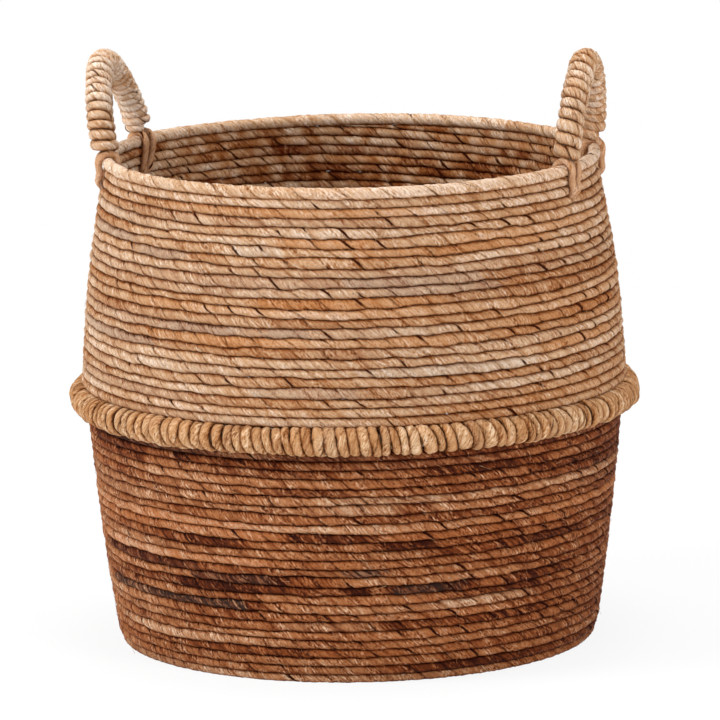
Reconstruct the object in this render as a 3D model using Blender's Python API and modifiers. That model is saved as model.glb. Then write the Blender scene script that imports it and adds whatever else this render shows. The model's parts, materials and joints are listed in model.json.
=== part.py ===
"""A belly basket wound from twisted leaf rope, with a wrapped ring round its belly and two rope handles.

The lower wall, the wrapped ring, the upper wall and the rim stand on a flat floor. Each wall is rope
wound in level loops, and every loop climbs to the next in one short stretch at the back, where the
wall's two ends taper away. Each handle is a wrapped rod that leans about the rim between its two feet,
and two strands of rope hold each foot to the rim and the loops below it.
Sizes are in metres, +Z is up, +X points to the right handle, and the origin is under the floor's middle.
"""

import math

import bmesh
import bpy
import numpy as np
from mathutils import Vector

# Gaps
SEAT_CLEARANCE = 0.0003
LEAST_LOOP_GAP = 0.0004
ROPE_JOINT_GAP = 0.0004
ROPE_JOINT_STUB = 0.0040
MERGE_DISTANCE = 0.00003

# Belly ring
RING_OUTER_RADIUS = 0.2425
RING_DIAMETER = 0.0247
RING_HEIGHT = 0.2095
RING_CORE_DIAMETER = 0.0105

# Floor and walls
FLOOR_THICKNESS = 0.0074
FLOOR_EDGE_ROUNDING = 0.0015
FLOOR_RIB_SPACING = 0.0210
FLOOR_GROOVE_WIDTH = 0.0080
FLOOR_GROOVE_DEPTH = 0.0026
BASE_LOOP_RADIUS = 0.2000
CORNER_DROP = 0.0022
CORNER_HEIGHT = 0.0160
LOWER_ROPE_DIAMETER = 0.0078
LOWER_WALL_INSET = 0.0071
UPPER_ROPE_DIAMETER = 0.0075
UPPER_WALL_INSET = 0.0028
UPPER_WALL_BULGE = 0.0024

# Rim
RIM_HEIGHT = 0.4164
RIM_RADIUS = 0.2054
RIM_ROPE_DIAMETER = 0.0100
RIM_INSET = 0.0006

# Handles
HANDLE_DIAMETER = 0.0234
HANDLE_RISE = 0.0896
HANDLE_WRAP_DIAMETER = 0.0062
HANDLE_CORE_DIAMETER = 0.0082
HANDLE_WRAP_SETBACK = 0.0006
FOOT_CLEARANCE = 0.0006
LASHING_DIAMETER = 0.0060
LASHING_TUCK = 0.0012

# Angles, counts and shares
FOOT_ANGLE = math.radians(17)
RIGHT_HANDLE_LEAN = math.radians(4.5)
LEFT_HANDLE_LEAN = math.radians(13)
HANDLE_NARROWING_SHARE = 0.26
HANDLE_TURNS = 20
HANDLE_TURN_POINTS = 6
HANDLE_CORE_POINTS = 24
LOOP_POINTS = 18
CLIMB_STEPS = 3
RING_POINTS = 36
RING_SECTIONS = 6
RING_WRAP_SIDES = 8
ROPE_SIDES = 6
WOUND_ROPE_SIDES = 4
OUTER_LASHED_LOOPS = 2
INNER_LASHED_LOOPS = 3
CROWN_POINTS = 7
PROFILE_POINTS = 200
GAP_TEST_CUTS = 4
SMOOTH_ANGLE = math.radians(40)
ROPE_SMOOTH_ANGLE = math.radians(95)

# Sizes that follow from the ones above
RING_CENTRE_RADIUS = RING_OUTER_RADIUS - RING_DIAMETER / 2
RIM_CENTRE_HEIGHT = RIM_HEIGHT - RIM_ROPE_DIAMETER / 2
STEP_ANGLE = math.tau / LOOP_POINTS
CLIMB_ANGLE = CLIMB_STEPS * STEP_ANGLE
CLIMB_START = math.pi / 2 - CLIMB_ANGLE / 2
RING_FLAT_RADIUS = RING_DIAMETER / 2 * math.cos(math.pi / RING_WRAP_SIDES)
CROWN_RADIUS = (RIM_ROPE_DIAMETER + LASHING_DIAMETER) / 2 + SEAT_CLEARANCE
FOOT_HEIGHT = CROWN_RADIUS + LASHING_DIAMETER / 2 + FOOT_CLEARANCE

# Colour and roughness of each finish
NATURAL_LEAF = (0.60, 0.42, 0.24, 1.0), 0.75
AGED_LEAF = (0.36, 0.20, 0.10, 1.0), 0.80
PALE_LEAF = (0.66, 0.49, 0.30, 1.0), 0.70
INNER_LEAF = (0.45, 0.30, 0.17, 1.0), 0.85


def clear_scene():
    """Remove every object that the scene starts with."""
    for scene_object in list(bpy.data.objects):
        bpy.data.objects.remove(scene_object, do_unlink=True)


def leaf_material(name, colour, roughness):
    """Return a dry leaf finish."""
    material = bpy.data.materials.new(name)
    material.use_nodes = True
    shader = material.node_tree.nodes["Principled BSDF"]
    shader.inputs["Base Color"].default_value = colour
    shader.inputs["Roughness"].default_value = roughness
    shader.inputs["Metallic"].default_value = 0.0
    return material


def add_mesh(name, mesh, material, collection, parent=None, smooth_angle=ROPE_SMOOTH_ANGLE):
    """Link a mesh to the scene as one smooth shaded part."""
    mesh.materials.clear()
    mesh.materials.append(material)
    mesh.shade_smooth()
    mesh.set_sharp_from_angle(angle=smooth_angle)
    part = bpy.data.objects.new(name, mesh)
    part.parent = parent
    collection.objects.link(part)
    return part


def tube_mesh(name, route, diameter, sides, shares=None, twist="MINIMUM", caps=True):
    """Return the mesh of a tube along a route, its radius at each point being a share of the whole."""
    curve = bpy.data.curves.new(name + "_route", "CURVE")
    curve.dimensions = "3D"
    curve.bevel_depth = diameter / 2
    curve.bevel_resolution = sides // 2 - 2
    curve.use_fill_caps = caps
    curve.twist_mode = twist
    spline = curve.splines.new("POLY")
    spline.points.add(len(route) - 1)
    for index, place in enumerate(route):
        spline.points[index].co = (*place, 1.0)
        spline.points[index].radius = shares[index] if shares else 1.0
    guide = bpy.data.objects.new(name + "_route", curve)
    bpy.context.scene.collection.objects.link(guide)
    bpy.context.view_layer.update()
    evaluated = guide.evaluated_get(bpy.context.evaluated_depsgraph_get())
    mesh = bpy.data.meshes.new_from_object(evaluated)
    mesh.name = name
    bpy.data.objects.remove(guide, do_unlink=True)
    bpy.data.curves.remove(curve)
    cage = bmesh.new()
    cage.from_mesh(mesh)
    bmesh.ops.remove_doubles(cage, verts=cage.verts, dist=MERGE_DISTANCE)
    bmesh.ops.recalc_face_normals(cage, faces=cage.faces)
    cage.to_mesh(mesh)
    cage.free()
    return mesh


def finer(route, parts):
    """Return the route with each stretch between two points cut into equal parts."""
    steps = np.linspace(0, 1, parts, endpoint=False)
    stretches = [a + (b - a) * s for a, b in zip(route[:-1], route[1:]) for s in steps]
    return np.array(stretches + [route[-1]])


def print_least_gap(name, route, diameter, apart, shares=None):
    """Print how near the tube comes to itself, between points that lie further apart along it."""
    points = finer(np.array([tuple(place) for place in route]), GAP_TEST_CUTS)
    shares = finer(np.array(shares or [1.0] * len(route)), GAP_TEST_CUTS)
    lengths = np.linalg.norm(np.diff(points, axis=0), axis=1)
    along = np.concatenate(([0], np.cumsum(lengths)))
    least = math.inf
    for index, place in enumerate(points):
        far = along > along[index] + apart
        if far.any():
            distances = np.linalg.norm(points[far] - place, axis=1)
            gaps = distances - diameter / 2 * (shares[far] + shares[index])
            least = min(least, gaps.min())
    print(f"{name}: least gap to itself {least * 1000:.2f} mm")


def even_places(profile, spacing):
    """Return places along a profile of (radius, height), evenly apart and at least the spacing apart."""
    profile = np.array(profile)
    lengths = np.linalg.norm(np.diff(profile, axis=0), axis=1)
    along = np.concatenate(([0], np.cumsum(lengths)))
    count = int(along[-1] / spacing)
    stops = np.linspace(0, along[-1], count + 1)
    radii = np.interp(stops, along, profile[:, 0])
    heights = np.interp(stops, along, profile[:, 1])
    return list(zip(radii.tolist(), heights.tolist()))


def seat_height(inset, distance):
    """Return how far apart in height two ropes lie that touch at this inset and centre distance."""
    return math.sqrt(distance**2 - inset**2)


def lower_levels():
    """Return the (radius, height) of each loop of the lower wall, from the floor up to the ring."""
    bottom = LOWER_ROPE_DIAMETER / 2
    top_radius = RING_CENTRE_RADIUS - LOWER_WALL_INSET
    reach = RING_FLAT_RADIUS + LOWER_ROPE_DIAMETER / 2 + LEAST_LOOP_GAP
    top = RING_HEIGHT - seat_height(LOWER_WALL_INSET, reach)
    profile = []
    for share in np.linspace(0, 1, PROFILE_POINTS):
        height = bottom + (top - bottom) * share
        radius = BASE_LOOP_RADIUS + (top_radius - BASE_LOOP_RADIUS) * share
        in_corner = max(0, 1 - (height - bottom) / CORNER_HEIGHT)
        profile.append((radius - CORNER_DROP * in_corner**2, height))
    return even_places(profile, LOWER_ROPE_DIAMETER + LEAST_LOOP_GAP)


def upper_levels():
    """Return the (radius, height) of each loop of the upper wall, from the ring up to the rim."""
    bottom_radius = RING_CENTRE_RADIUS - UPPER_WALL_INSET
    reach = RING_FLAT_RADIUS + UPPER_ROPE_DIAMETER / 2 + LEAST_LOOP_GAP
    bottom = RING_HEIGHT + seat_height(UPPER_WALL_INSET, reach)
    top_radius = RIM_RADIUS + RIM_INSET
    reach = (RIM_ROPE_DIAMETER + UPPER_ROPE_DIAMETER) / 2 + LEAST_LOOP_GAP
    top = RIM_CENTRE_HEIGHT - seat_height(RIM_INSET, reach)
    profile = []
    for share in np.linspace(0, 1, PROFILE_POINTS):
        bulge = UPPER_WALL_BULGE * math.sin(math.pi * share)
        radius = bottom_radius + (top_radius - bottom_radius) * share + bulge
        profile.append((radius, bottom + (top - bottom) * share))
    return even_places(profile, UPPER_ROPE_DIAMETER + LEAST_LOOP_GAP)


def facet_radius(radius, angle, points):
    """Return how far out a loop of straight stretches lies at an angle between its points."""
    step = math.tau / points
    from_middle = (angle - CLIMB_START) % step - step / 2
    return radius * math.cos(step / 2) / math.cos(from_middle)


def rim_foot():
    """Return the X and Y of the rim's middle line where the right handle's back foot stands."""
    radius = facet_radius(RIM_RADIUS, FOOT_ANGLE, RING_POINTS)
    return radius * math.cos(FOOT_ANGLE), radius * math.sin(FOOT_ANGLE)


def handle_up(side):
    """Return the direction from a handle's feet to its top; both handles lean outwards."""
    lean = RIGHT_HANDLE_LEAN if side > 0 else LEFT_HANDLE_LEAN
    return Vector((side * math.sin(lean), 0, math.cos(lean)))


def around(radius, angle, height):
    """Return the point at this radius, angle from +X and height."""
    return Vector((radius * math.cos(angle), radius * math.sin(angle), height))


def joint_end(radius, angle, height, way):
    """Return a rope's end point and a point behind it, so that it meets the next rope squarely."""
    middle = around(radius, angle, height)
    along = Vector((-math.sin(angle), math.cos(angle), 0)) * way
    end = middle + along * ROPE_JOINT_GAP / 2
    return [end, end + along * ROPE_JOINT_STUB]


def wall_route(levels, diameter, first, last):
    """Return the points and radius shares of a wall's rope from one level to another.

    The rope lies level for most of a turn and climbs to the next level in the stretch at the back. At
    the wall's bottom and top the rope's end tapers away in that stretch.
    """
    radii, heights = zip(*levels)
    top = len(levels) - 1
    pitch = math.dist(levels[0], levels[1])
    gap = pitch - diameter
    route, shares = [], []
    start_step = first * LOOP_POINTS + (1 if first == 0 else 0)
    end_step = (last + 1) * LOOP_POINTS + (CLIMB_STEPS - 1 if last == top else 0)
    for step in range(start_step, end_step + 1):
        turn, turn_step = divmod(step, LOOP_POINTS)
        climbed = min(1, turn_step / CLIMB_STEPS)
        room = 1
        if turn == 0:
            room = climbed
        elif turn == top + 1:
            room = 1 - climbed
        share = (pitch * room - gap) / diameter
        level = min(top, max(0, turn - 1 + climbed))
        shift = diameter / 2 * (1 - share)
        angle = CLIMB_START + turn_step * STEP_ANGLE
        radius = float(np.interp(level, range(top + 1), radii))
        height = float(np.interp(level, range(top + 1), heights)) + (shift if turn else -shift)
        if step == start_step and first > 0:
            places = joint_end(radius, angle, height, 1)
        elif step == end_step and last < top:
            places = joint_end(radius, angle, height, -1)[::-1]
        else:
            places = [around(radius, angle, height)]
        route += places
        shares += [share] * len(places)
    return route, shares


def build_wall(name, levels, diameter, material, collection):
    """Wind one wall from two lengths of rope that butt end to end at the back."""
    middle = len(levels) // 2
    for number, (first, last) in enumerate(((0, middle - 1), (middle, len(levels) - 1)), 1):
        part_name = f"{name}_{number}"
        route, shares = wall_route(levels, diameter, first, last)
        mesh = tube_mesh(part_name, route, diameter, WOUND_ROPE_SIDES, shares, "Z_UP")
        add_mesh(part_name, mesh, material, collection)
        print_least_gap(part_name, route, diameter, math.pi * levels[first][0], shares)


def floor_grooves(reach):
    """Return the (radius, depth) points of the grooves between the floor's ribs, from the middle out."""
    ribs = round(reach / FLOOR_RIB_SPACING)
    points = []
    for number in range(1, ribs):
        middle = reach * number / ribs
        points.append((middle - FLOOR_GROOVE_WIDTH / 2, 0))
        points.append((middle, FLOOR_GROOVE_DEPTH))
        points.append((middle + FLOOR_GROOVE_WIDTH / 2, 0))
    return points


def build_floor(levels, material, collection):
    """Turn the ribbed floor, which carries the basket's weight inside the lowest loop."""
    edge = levels[0][0] - LOWER_ROPE_DIAMETER / 2 - SEAT_CLEARANCE
    rounding = FLOOR_EDGE_ROUNDING
    grooves = floor_grooves(edge - rounding)
    top = [(radius, FLOOR_THICKNESS - depth) for radius, depth in grooves]
    rim = [
        (edge - rounding, FLOOR_THICKNESS),
        (edge, FLOOR_THICKNESS - rounding),
        (edge, rounding),
        (edge - rounding, 0),
    ]
    outline = [(0, FLOOR_THICKNESS)] + top + rim + grooves[::-1] + [(0, 0)]
    mesh = bpy.data.meshes.new("floor_mat")
    cage = bmesh.new()
    rows = [cage.verts.new((radius, 0, height)) for radius, height in outline]
    for above, below in zip(rows[:-1], rows[1:]):
        cage.edges.new((above, below))
    cage.to_mesh(mesh)
    cage.free()
    floor = add_mesh("floor_mat", mesh, material, collection, smooth_angle=SMOOTH_ANGLE)
    screw = floor.modifiers.new("turn", "SCREW")
    screw.angle = math.tau
    screw.steps = LOOP_POINTS
    screw.render_steps = LOOP_POINTS
    screw.use_merge_vertices = True
    screw.merge_threshold = MERGE_DISTANCE


def build_ring(core_material, wrap_material, collection):
    """Bend the ring's core and wrap it in lengths that meet end to end."""
    core_route = level_arc(CLIMB_START, math.tau, RING_POINTS, RING_CENTRE_RADIUS, RING_HEIGHT)
    mesh = tube_mesh("belly_ring_core", core_route, RING_CORE_DIAMETER, ROPE_SIDES, twist="Z_UP")
    add_mesh("belly_ring_core", mesh, core_material, collection)
    wall = RING_FLAT_RADIUS - RING_CORE_DIAMETER / 2 - SEAT_CLEARANCE
    turn = math.tau / RING_SECTIONS
    points = RING_POINTS // RING_SECTIONS
    for number in range(RING_SECTIONS):
        name = f"belly_wrap_{number + 1}"
        route = level_arc(number * turn, turn, points, RING_CENTRE_RADIUS, RING_HEIGHT)
        mesh = tube_mesh(name, route, RING_DIAMETER, RING_WRAP_SIDES, twist="Z_UP", caps=False)
        wrap = add_mesh(name, mesh, wrap_material, collection)
        solid = wrap.modifiers.new("wall", "SOLIDIFY")
        solid.thickness = wall
        solid.offset = -1
        solid.use_even_offset = True


def level_arc(start, turn, steps, radius, height):
    """Return the points of a level arc whose ends stop short by half a joint gap."""
    route = joint_end(radius, start, height, 1)
    for step in range(1, steps):
        route.append(around(radius, start + turn * step / steps, height))
    return route + joint_end(radius, start + turn, height, -1)[::-1]


def build_rim(material, collection):
    """Lay the thick rope of the rim on the topmost loop."""
    route = level_arc(CLIMB_START, math.tau, RING_POINTS, RIM_RADIUS, RIM_CENTRE_HEIGHT)
    mesh = tube_mesh("rim_rope", route, RIM_ROPE_DIAMETER, ROPE_SIDES, twist="Z_UP")
    add_mesh("rim_rope", mesh, material, collection)


def arch_frames(side, count):
    """Return evenly spaced (point, inward normal) pairs along a handle's middle line.

    The places are relative to the middle of the hinge line between the handle's two feet.
    """
    _, half_width = rim_foot()
    rise = HANDLE_RISE + RIM_ROPE_DIAMETER / 2 - FOOT_HEIGHT - HANDLE_DIAMETER / 2
    up = handle_up(side)
    turn = np.linspace(0, math.pi, PROFILE_POINTS)
    narrowing = 1 - HANDLE_NARROWING_SHARE * np.sin(turn) ** 2
    dense = np.column_stack((half_width * np.cos(turn) * narrowing, rise * np.sin(turn)))
    lengths = np.linalg.norm(np.diff(dense, axis=0), axis=1)
    along = np.concatenate(([0], np.cumsum(lengths)))
    stops = np.linspace(0, along[-1], count)
    across = np.interp(stops, along, dense[:, 0])
    height = np.interp(stops, along, dense[:, 1])
    tangents = np.gradient(np.column_stack((across, height)), axis=0)
    frames = []
    for u, v, tangent in zip(across, height, tangents):
        tangent = tangent / np.linalg.norm(tangent)
        point = Vector((0, u, 0)) + up * (FOOT_HEIGHT + v)
        normal = Vector((0, -tangent[1], 0)) + up * tangent[0]
        frames.append((point, normal))
    return frames, float(along[-1])


def handle_core_route(side):
    """Return the middle line of a handle's core."""
    frames, _ = arch_frames(side, HANDLE_CORE_POINTS)
    return [point for point, _ in frames]


def handle_wrap_route(side):
    """Return the middle line of the rope that winds round a handle's core."""
    winding_radius = (HANDLE_DIAMETER - HANDLE_WRAP_DIAMETER) / 2
    up = handle_up(side)
    across = Vector((up.z, 0, -up.x))
    steps = HANDLE_TURNS * HANDLE_TURN_POINTS
    _, length = arch_frames(side, 2)
    setback = HANDLE_WRAP_DIAMETER / 2 + HANDLE_WRAP_SETBACK
    margin = setback / length
    dense, _ = arch_frames(side, PROFILE_POINTS)
    route = []
    for step in range(steps + 1):
        share = margin + (1 - 2 * margin) * step / steps
        place = share * (PROFILE_POINTS - 1)
        low = min(int(place), PROFILE_POINTS - 2)
        point = dense[low][0].lerp(dense[low + 1][0], place - low)
        normal = dense[low][1].lerp(dense[low + 1][1], place - low).normalized()
        angle = math.tau * step / HANDLE_TURN_POINTS
        route.append(point + (normal * math.cos(angle) + across * math.sin(angle)) * winding_radius)
    return route


def build_handle(side_name, side, core_material, wrap_material, collection):
    """Bend one handle about its hinge line: the core rod and the rope wound round it."""
    foot_x, _ = rim_foot()
    hinge = bpy.data.objects.new(f"{side_name}_handle_hinge", None)
    hinge.location = (side * foot_x, 0, RIM_CENTRE_HEIGHT)
    print(f"{side_name} hinge line at X {side * foot_x:.6f}, Z {RIM_CENTRE_HEIGHT:.6f}")
    collection.objects.link(hinge)
    name = f"{side_name}_handle_core"
    mesh = tube_mesh(name, handle_core_route(side), HANDLE_CORE_DIAMETER, ROPE_SIDES)
    add_mesh(name, mesh, core_material, collection, hinge)
    name = f"{side_name}_handle_wrap"
    route = handle_wrap_route(side)
    mesh = tube_mesh(name, route, HANDLE_WRAP_DIAMETER, WOUND_ROPE_SIDES)
    add_mesh(name, mesh, wrap_material, collection, hinge)
    turn_length = math.pi * (HANDLE_DIAMETER - HANDLE_WRAP_DIAMETER)
    print_least_gap(name, route, HANDLE_WRAP_DIAMETER, turn_length / 2)


def lashing_side(levels, angle, loops, way):
    """Return a strand's (radius, height) places down one side of the wall, from the rim to its end.

    The way is 1 outside the wall and -1 inside it. The strand's end dips into the groove under the last
    of the loops that it holds.
    """
    reach = (UPPER_ROPE_DIAMETER + LASHING_DIAMETER) / 2 + SEAT_CLEARANCE
    held = levels[-loops:][::-1]
    places = [(facet_radius(radius, angle, LOOP_POINTS) + way * reach, height) for radius, height in held]
    last_radius, _ = places[-1]
    groove = (levels[-loops][1] + levels[-loops - 1][1]) / 2
    return places + [(last_radius - way * LASHING_TUCK, groove)]


def lashing_route(levels, angle, offset):
    """Return the route of a strand that goes over the rim and into the wall on both sides."""
    rim_radius = facet_radius(RIM_RADIUS, angle, RING_POINTS)
    crown = []
    for turn in np.linspace(0, math.pi, CROWN_POINTS):
        radius = rim_radius + CROWN_RADIUS * math.cos(turn)
        crown.append((radius, RIM_CENTRE_HEIGHT + CROWN_RADIUS * math.sin(turn)))
    outer = lashing_side(levels, angle, OUTER_LASHED_LOOPS, 1)
    inner = lashing_side(levels, angle, INNER_LASHED_LOOPS, -1)
    across = Vector((-math.sin(angle), math.cos(angle), 0)) * offset
    return [around(radius, angle, height) + across for radius, height in outer[::-1] + crown + inner]


def build_lashings(levels, material, collection):
    """Tie each foot of each handle down with two strands side by side."""
    feet = {
        "right_front": -FOOT_ANGLE,
        "right_back": FOOT_ANGLE,
        "left_front": math.pi + FOOT_ANGLE,
        "left_back": math.pi - FOOT_ANGLE,
    }
    for foot, angle in feet.items():
        for number, way in enumerate((-1, 1), 1):
            name = f"{foot}_lashing_{number}"
            offset = way * (LASHING_DIAMETER + LEAST_LOOP_GAP) / 2
            mesh = tube_mesh(name, lashing_route(levels, angle, offset), LASHING_DIAMETER, ROPE_SIDES)
            add_mesh(name, mesh, material, collection)


def main():
    """Build every part of the basket."""
    clear_scene()
    collection = bpy.data.collections.new("belly_basket")
    bpy.context.scene.collection.children.link(collection)
    natural = leaf_material("natural_leaf_rope", *NATURAL_LEAF)
    aged = leaf_material("aged_leaf_rope", *AGED_LEAF)
    pale = leaf_material("pale_leaf_wrap", *PALE_LEAF)
    inner = leaf_material("inner_leaf", *INNER_LEAF)
    lower = lower_levels()
    upper = upper_levels()
    print(f"loops in the lower wall {len(lower)}, in the upper wall {len(upper)}")
    build_floor(lower, inner, collection)
    build_wall("lower_wall_coil", lower, LOWER_ROPE_DIAMETER, aged, collection)
    build_ring(inner, pale, collection)
    build_wall("upper_wall_coil", upper, UPPER_ROPE_DIAMETER, natural, collection)
    build_rim(natural, collection)
    build_lashings(upper, natural, collection)
    build_handle("right", 1, inner, natural, collection)
    build_handle("left", -1, inner, natural, collection)


main()
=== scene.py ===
"""The looks of the belly basket: twisted leaf rope wound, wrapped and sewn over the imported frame.

Every rope is one closed skin laid along its own path. The leaf strip that the rope is twisted from
shows as an edge that goes round the rope at a slant, with creases beside it, and the finish reads the
same lay from the rope's own UV map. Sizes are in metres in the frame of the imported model: +Z is up,
+X points to the right handle, and the origin is under the floor's middle.
"""

import json
import logging
import math
from dataclasses import dataclass, field, fields, replace
from enum import Enum

import bpy
import numpy as np
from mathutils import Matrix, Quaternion, Vector

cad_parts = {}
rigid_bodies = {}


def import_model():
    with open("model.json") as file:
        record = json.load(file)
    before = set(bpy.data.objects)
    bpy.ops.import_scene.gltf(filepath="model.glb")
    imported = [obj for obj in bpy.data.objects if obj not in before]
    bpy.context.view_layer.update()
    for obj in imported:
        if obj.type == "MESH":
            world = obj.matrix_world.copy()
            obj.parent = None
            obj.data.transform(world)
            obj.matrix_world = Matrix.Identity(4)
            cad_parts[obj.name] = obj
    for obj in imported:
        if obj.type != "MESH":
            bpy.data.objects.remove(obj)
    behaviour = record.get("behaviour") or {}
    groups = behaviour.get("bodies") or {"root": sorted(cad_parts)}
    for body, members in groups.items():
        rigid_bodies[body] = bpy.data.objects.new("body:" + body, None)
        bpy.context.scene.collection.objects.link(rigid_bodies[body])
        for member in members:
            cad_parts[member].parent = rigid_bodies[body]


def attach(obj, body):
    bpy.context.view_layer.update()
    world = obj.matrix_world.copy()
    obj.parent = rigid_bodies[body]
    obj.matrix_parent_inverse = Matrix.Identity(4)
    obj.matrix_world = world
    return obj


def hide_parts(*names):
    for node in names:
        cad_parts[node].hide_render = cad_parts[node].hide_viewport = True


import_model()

LOG = logging.getLogger("belly_basket")

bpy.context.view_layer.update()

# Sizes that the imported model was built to
RING_OUTER_RADIUS = 0.2425
RING_DIAMETER = 0.0247
RING_HEIGHT = 0.2095
RING_CENTRE_RADIUS = RING_OUTER_RADIUS - RING_DIAMETER / 2
BASE_LOOP_RADIUS = 0.2000
CORNER_DROP = 0.0022
CORNER_HEIGHT = 0.0160
LOWER_ROPE_DIAMETER = 0.0078
LOWER_WALL_INSET = 0.0071
UPPER_ROPE_DIAMETER = 0.0075
UPPER_WALL_INSET = 0.0028
UPPER_WALL_BULGE = 0.0024
RIM_HEIGHT = 0.4164
RIM_RADIUS = 0.2054
RIM_ROPE_DIAMETER = 0.0100
RIM_SIDES = 36
RIM_CENTRE_HEIGHT = RIM_HEIGHT - RIM_ROPE_DIAMETER / 2
HANDLE_DIAMETER = 0.0234
HANDLE_RISE = 0.0896
LASHING_DIAMETER = 0.0060
FOOT_ANGLE = math.radians(17)
RIGHT_HANDLE_LEAN = math.radians(4.5)
LEFT_HANDLE_LEAN = math.radians(13)
HANDLE_NARROWING_SHARE = 0.26
CLIMB_START = math.radians(60)
CLIMB_SHARE = 1 / 6
CORE_END_GAP = 0.002
RIM_END_GAP = 0.0015
FOOT_CLEARANCE = 0.0009
FOOT_HEIGHT = (RIM_ROPE_DIAMETER + LASHING_DIAMETER) / 2 + LASHING_DIAMETER / 2 + FOOT_CLEARANCE
FOOT_OFF_SIDE = math.radians(2)
HINGE_RADIUS = RIM_RADIUS * math.cos(math.pi / RIM_SIDES) / math.cos(FOOT_OFF_SIDE)
FLOOR_THICKNESS = 0.0074

# How the dressed ropes lie in that model, and how finely a wall's profile is drawn
FLOOR_GAP = 0.00005
RING_PRESS = 0.0006
PROFILE_POINTS = 200

# The leaf strip that a rope is twisted from: places across it, and how proud it stands there
STRIP_PLACES = (0.0, 0.045, 0.93, 1.0)
STRIP_HEIGHTS = (-0.75, 0.5, -0.28, -0.75)
STRIP_BODY_START = 0.115

# The rings that close a rope's end: their size and their reach, in shares of the rope
TIP_STEPS = ((0.0, 0.60), (0.62, 0.44), (0.90, 0.18))
TIP_ROWS = len(TIP_STEPS)

UP = np.array((0.0, 0.0, 1.0))

Colour = tuple[float, float, float, float]


def leaf_colour(red: int, green: int, blue: int) -> Colour:
    """Return a display colour of 0 to 255 as the linear colour that a shader takes.

    Args:
        red: The red part, 0 to 255.
        green: The green part, 0 to 255.
        blue: The blue part, 0 to 255.

    Returns:
        The linear colour with an alpha of 1.
    """

    def linear(part: int) -> float:
        """Return the linear share of one part."""
        share = part / 255
        return share / 12.92 if share <= 0.04045 else ((share + 0.055) / 1.055) ** 2.4

    return (linear(red), linear(green), linear(blue), 1.0)


def leaf_colours(**parts: tuple[int, int, int]) -> dict[str, Colour]:
    """Return several named display colours as the linear colours that a shader takes."""
    return {name: leaf_colour(*part) for name, part in parts.items()}


def soft_step(share: np.ndarray) -> np.ndarray:
    """Return the share, held between 0 and 1, with a soft start and end."""
    share = np.clip(share, 0, 1)
    return share * share * (3 - 2 * share)


def drift(rng: np.random.Generator, along: np.ndarray, wavelength: float) -> np.ndarray:
    """Return a value between -1 and 1 that wanders smoothly along a rope.

    Args:
        rng: The source of the random knots.
        along: The distance along the rope of each place.
        wavelength: The distance between two knots.

    Returns:
        One value for each place.
    """
    place = (along - along[0]) / wavelength
    knots = rng.uniform(-1, 1, int(place[-1]) + 3)
    low = place.astype(int)
    share = soft_step(place - low)
    return knots[low] * (1 - share) + knots[low + 1] * share


def drifts(rng: np.random.Generator, along: np.ndarray, *waves: tuple[float, float]) -> np.ndarray:
    """Return the sum of several drifts, each given by its size and its wavelength."""
    return sum(size * drift(rng, along, wavelength) for size, wavelength in waves)


def lengths_along(centre: np.ndarray) -> np.ndarray:
    """Return the distance from the start of each point of a path."""
    return np.concatenate(([0], np.cumsum(np.linalg.norm(np.diff(centre, axis=0), axis=1))))


def resampled(stops: np.ndarray, along: np.ndarray, points: np.ndarray) -> np.ndarray:
    """Return the places that lie at the given distances along a path."""
    return np.column_stack([np.interp(stops, along, side) for side in points.T])


def unit(rows: np.ndarray) -> np.ndarray:
    """Return the rows, each drawn to a length of 1."""
    return rows / np.linalg.norm(rows, axis=1)[:, None]


def round_places(radius: np.ndarray | float, angle: np.ndarray, height: np.ndarray | float) -> np.ndarray:
    """Return places by their distance and direction from the upright axis, and their height."""
    return np.stack(np.broadcast_arrays(radius * np.cos(angle), radius * np.sin(angle), height), axis=-1)


# Finishes


@dataclass(frozen=True)
class LeafFinish:
    """The colours and surface of one kind of dry leaf."""

    name: str
    slot: str
    dark: Colour
    low: Colour
    middle: Colour
    pale: Colour
    grey: Colour
    warm: Colour
    # The colour of the painted shade in open slits and in the grooves between ropes
    slit_colour: Colour
    ash: Colour = leaf_colour(48, 34, 28)
    fibre_count: float = 3.2
    fibre_stretch: float = 110.0
    tone_spread: float = 0.50
    strand_spread: float = 0.28
    blotch_spread: float = 0.28
    crumple_spread: float = 0.46
    fleck_spread: float = 0.22
    stroke_spread: float = 0.45
    speck_share: float = 0.65
    crumple_depth: float = 0.42
    # How strong the painted shade is in the groove where a rope lies against the next one
    joint_share: float = 0.62
    base_roughness: float = 0.70
    fibre_depth: float = 0.0009
    specular: float = 0.09

    def group_inputs(self) -> dict[str, Colour | float]:
        """Return what the shader group takes from this finish, by the titles of its sockets.

        Returns:
            The colours and numbers by title.
        """
        left_out = ("name", "slot", "fibre_depth", "specular")
        kept = [one.name for one in fields(self) if one.name not in left_out]
        return {name.replace("_", " ").title(): getattr(self, name) for name in kept}


LOWER_LEAF = LeafFinish(
    name="aged_leaf",
    slot="aged_leaf_rope",
    **leaf_colours(
        dark=(48, 13, 2), low=(112, 50, 17), middle=(178, 117, 73), pale=(232, 203, 172),
        grey=(156, 124, 98), warm=(180, 104, 54), slit_colour=(44, 13, 3),
    ),
    fibre_count=3.4,
    fibre_stretch=170.0,
    tone_spread=0.44,
    strand_spread=0.26,
    blotch_spread=0.42,
    crumple_spread=0.78,
    fleck_spread=0.78,
    stroke_spread=0.62,
    speck_share=0.80,
)
UPPER_LEAF = LeafFinish(
    name="natural_leaf",
    slot="natural_leaf_rope",
    **leaf_colours(
        dark=(88, 27, 2), low=(153, 90, 42), middle=(199, 157, 117), pale=(248, 231, 214),
        grey=(188, 166, 146), warm=(200, 134, 80), slit_colour=(62, 22, 5),
    ),
    crumple_spread=0.56,
    fleck_spread=0.52,
    speck_share=0.60,
)
# The handle's rope has less painted groove shade between its turns
HANDLE_LEAF = replace(UPPER_LEAF, name="handle_leaf", joint_share=0.50, strand_spread=0.50)
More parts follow.
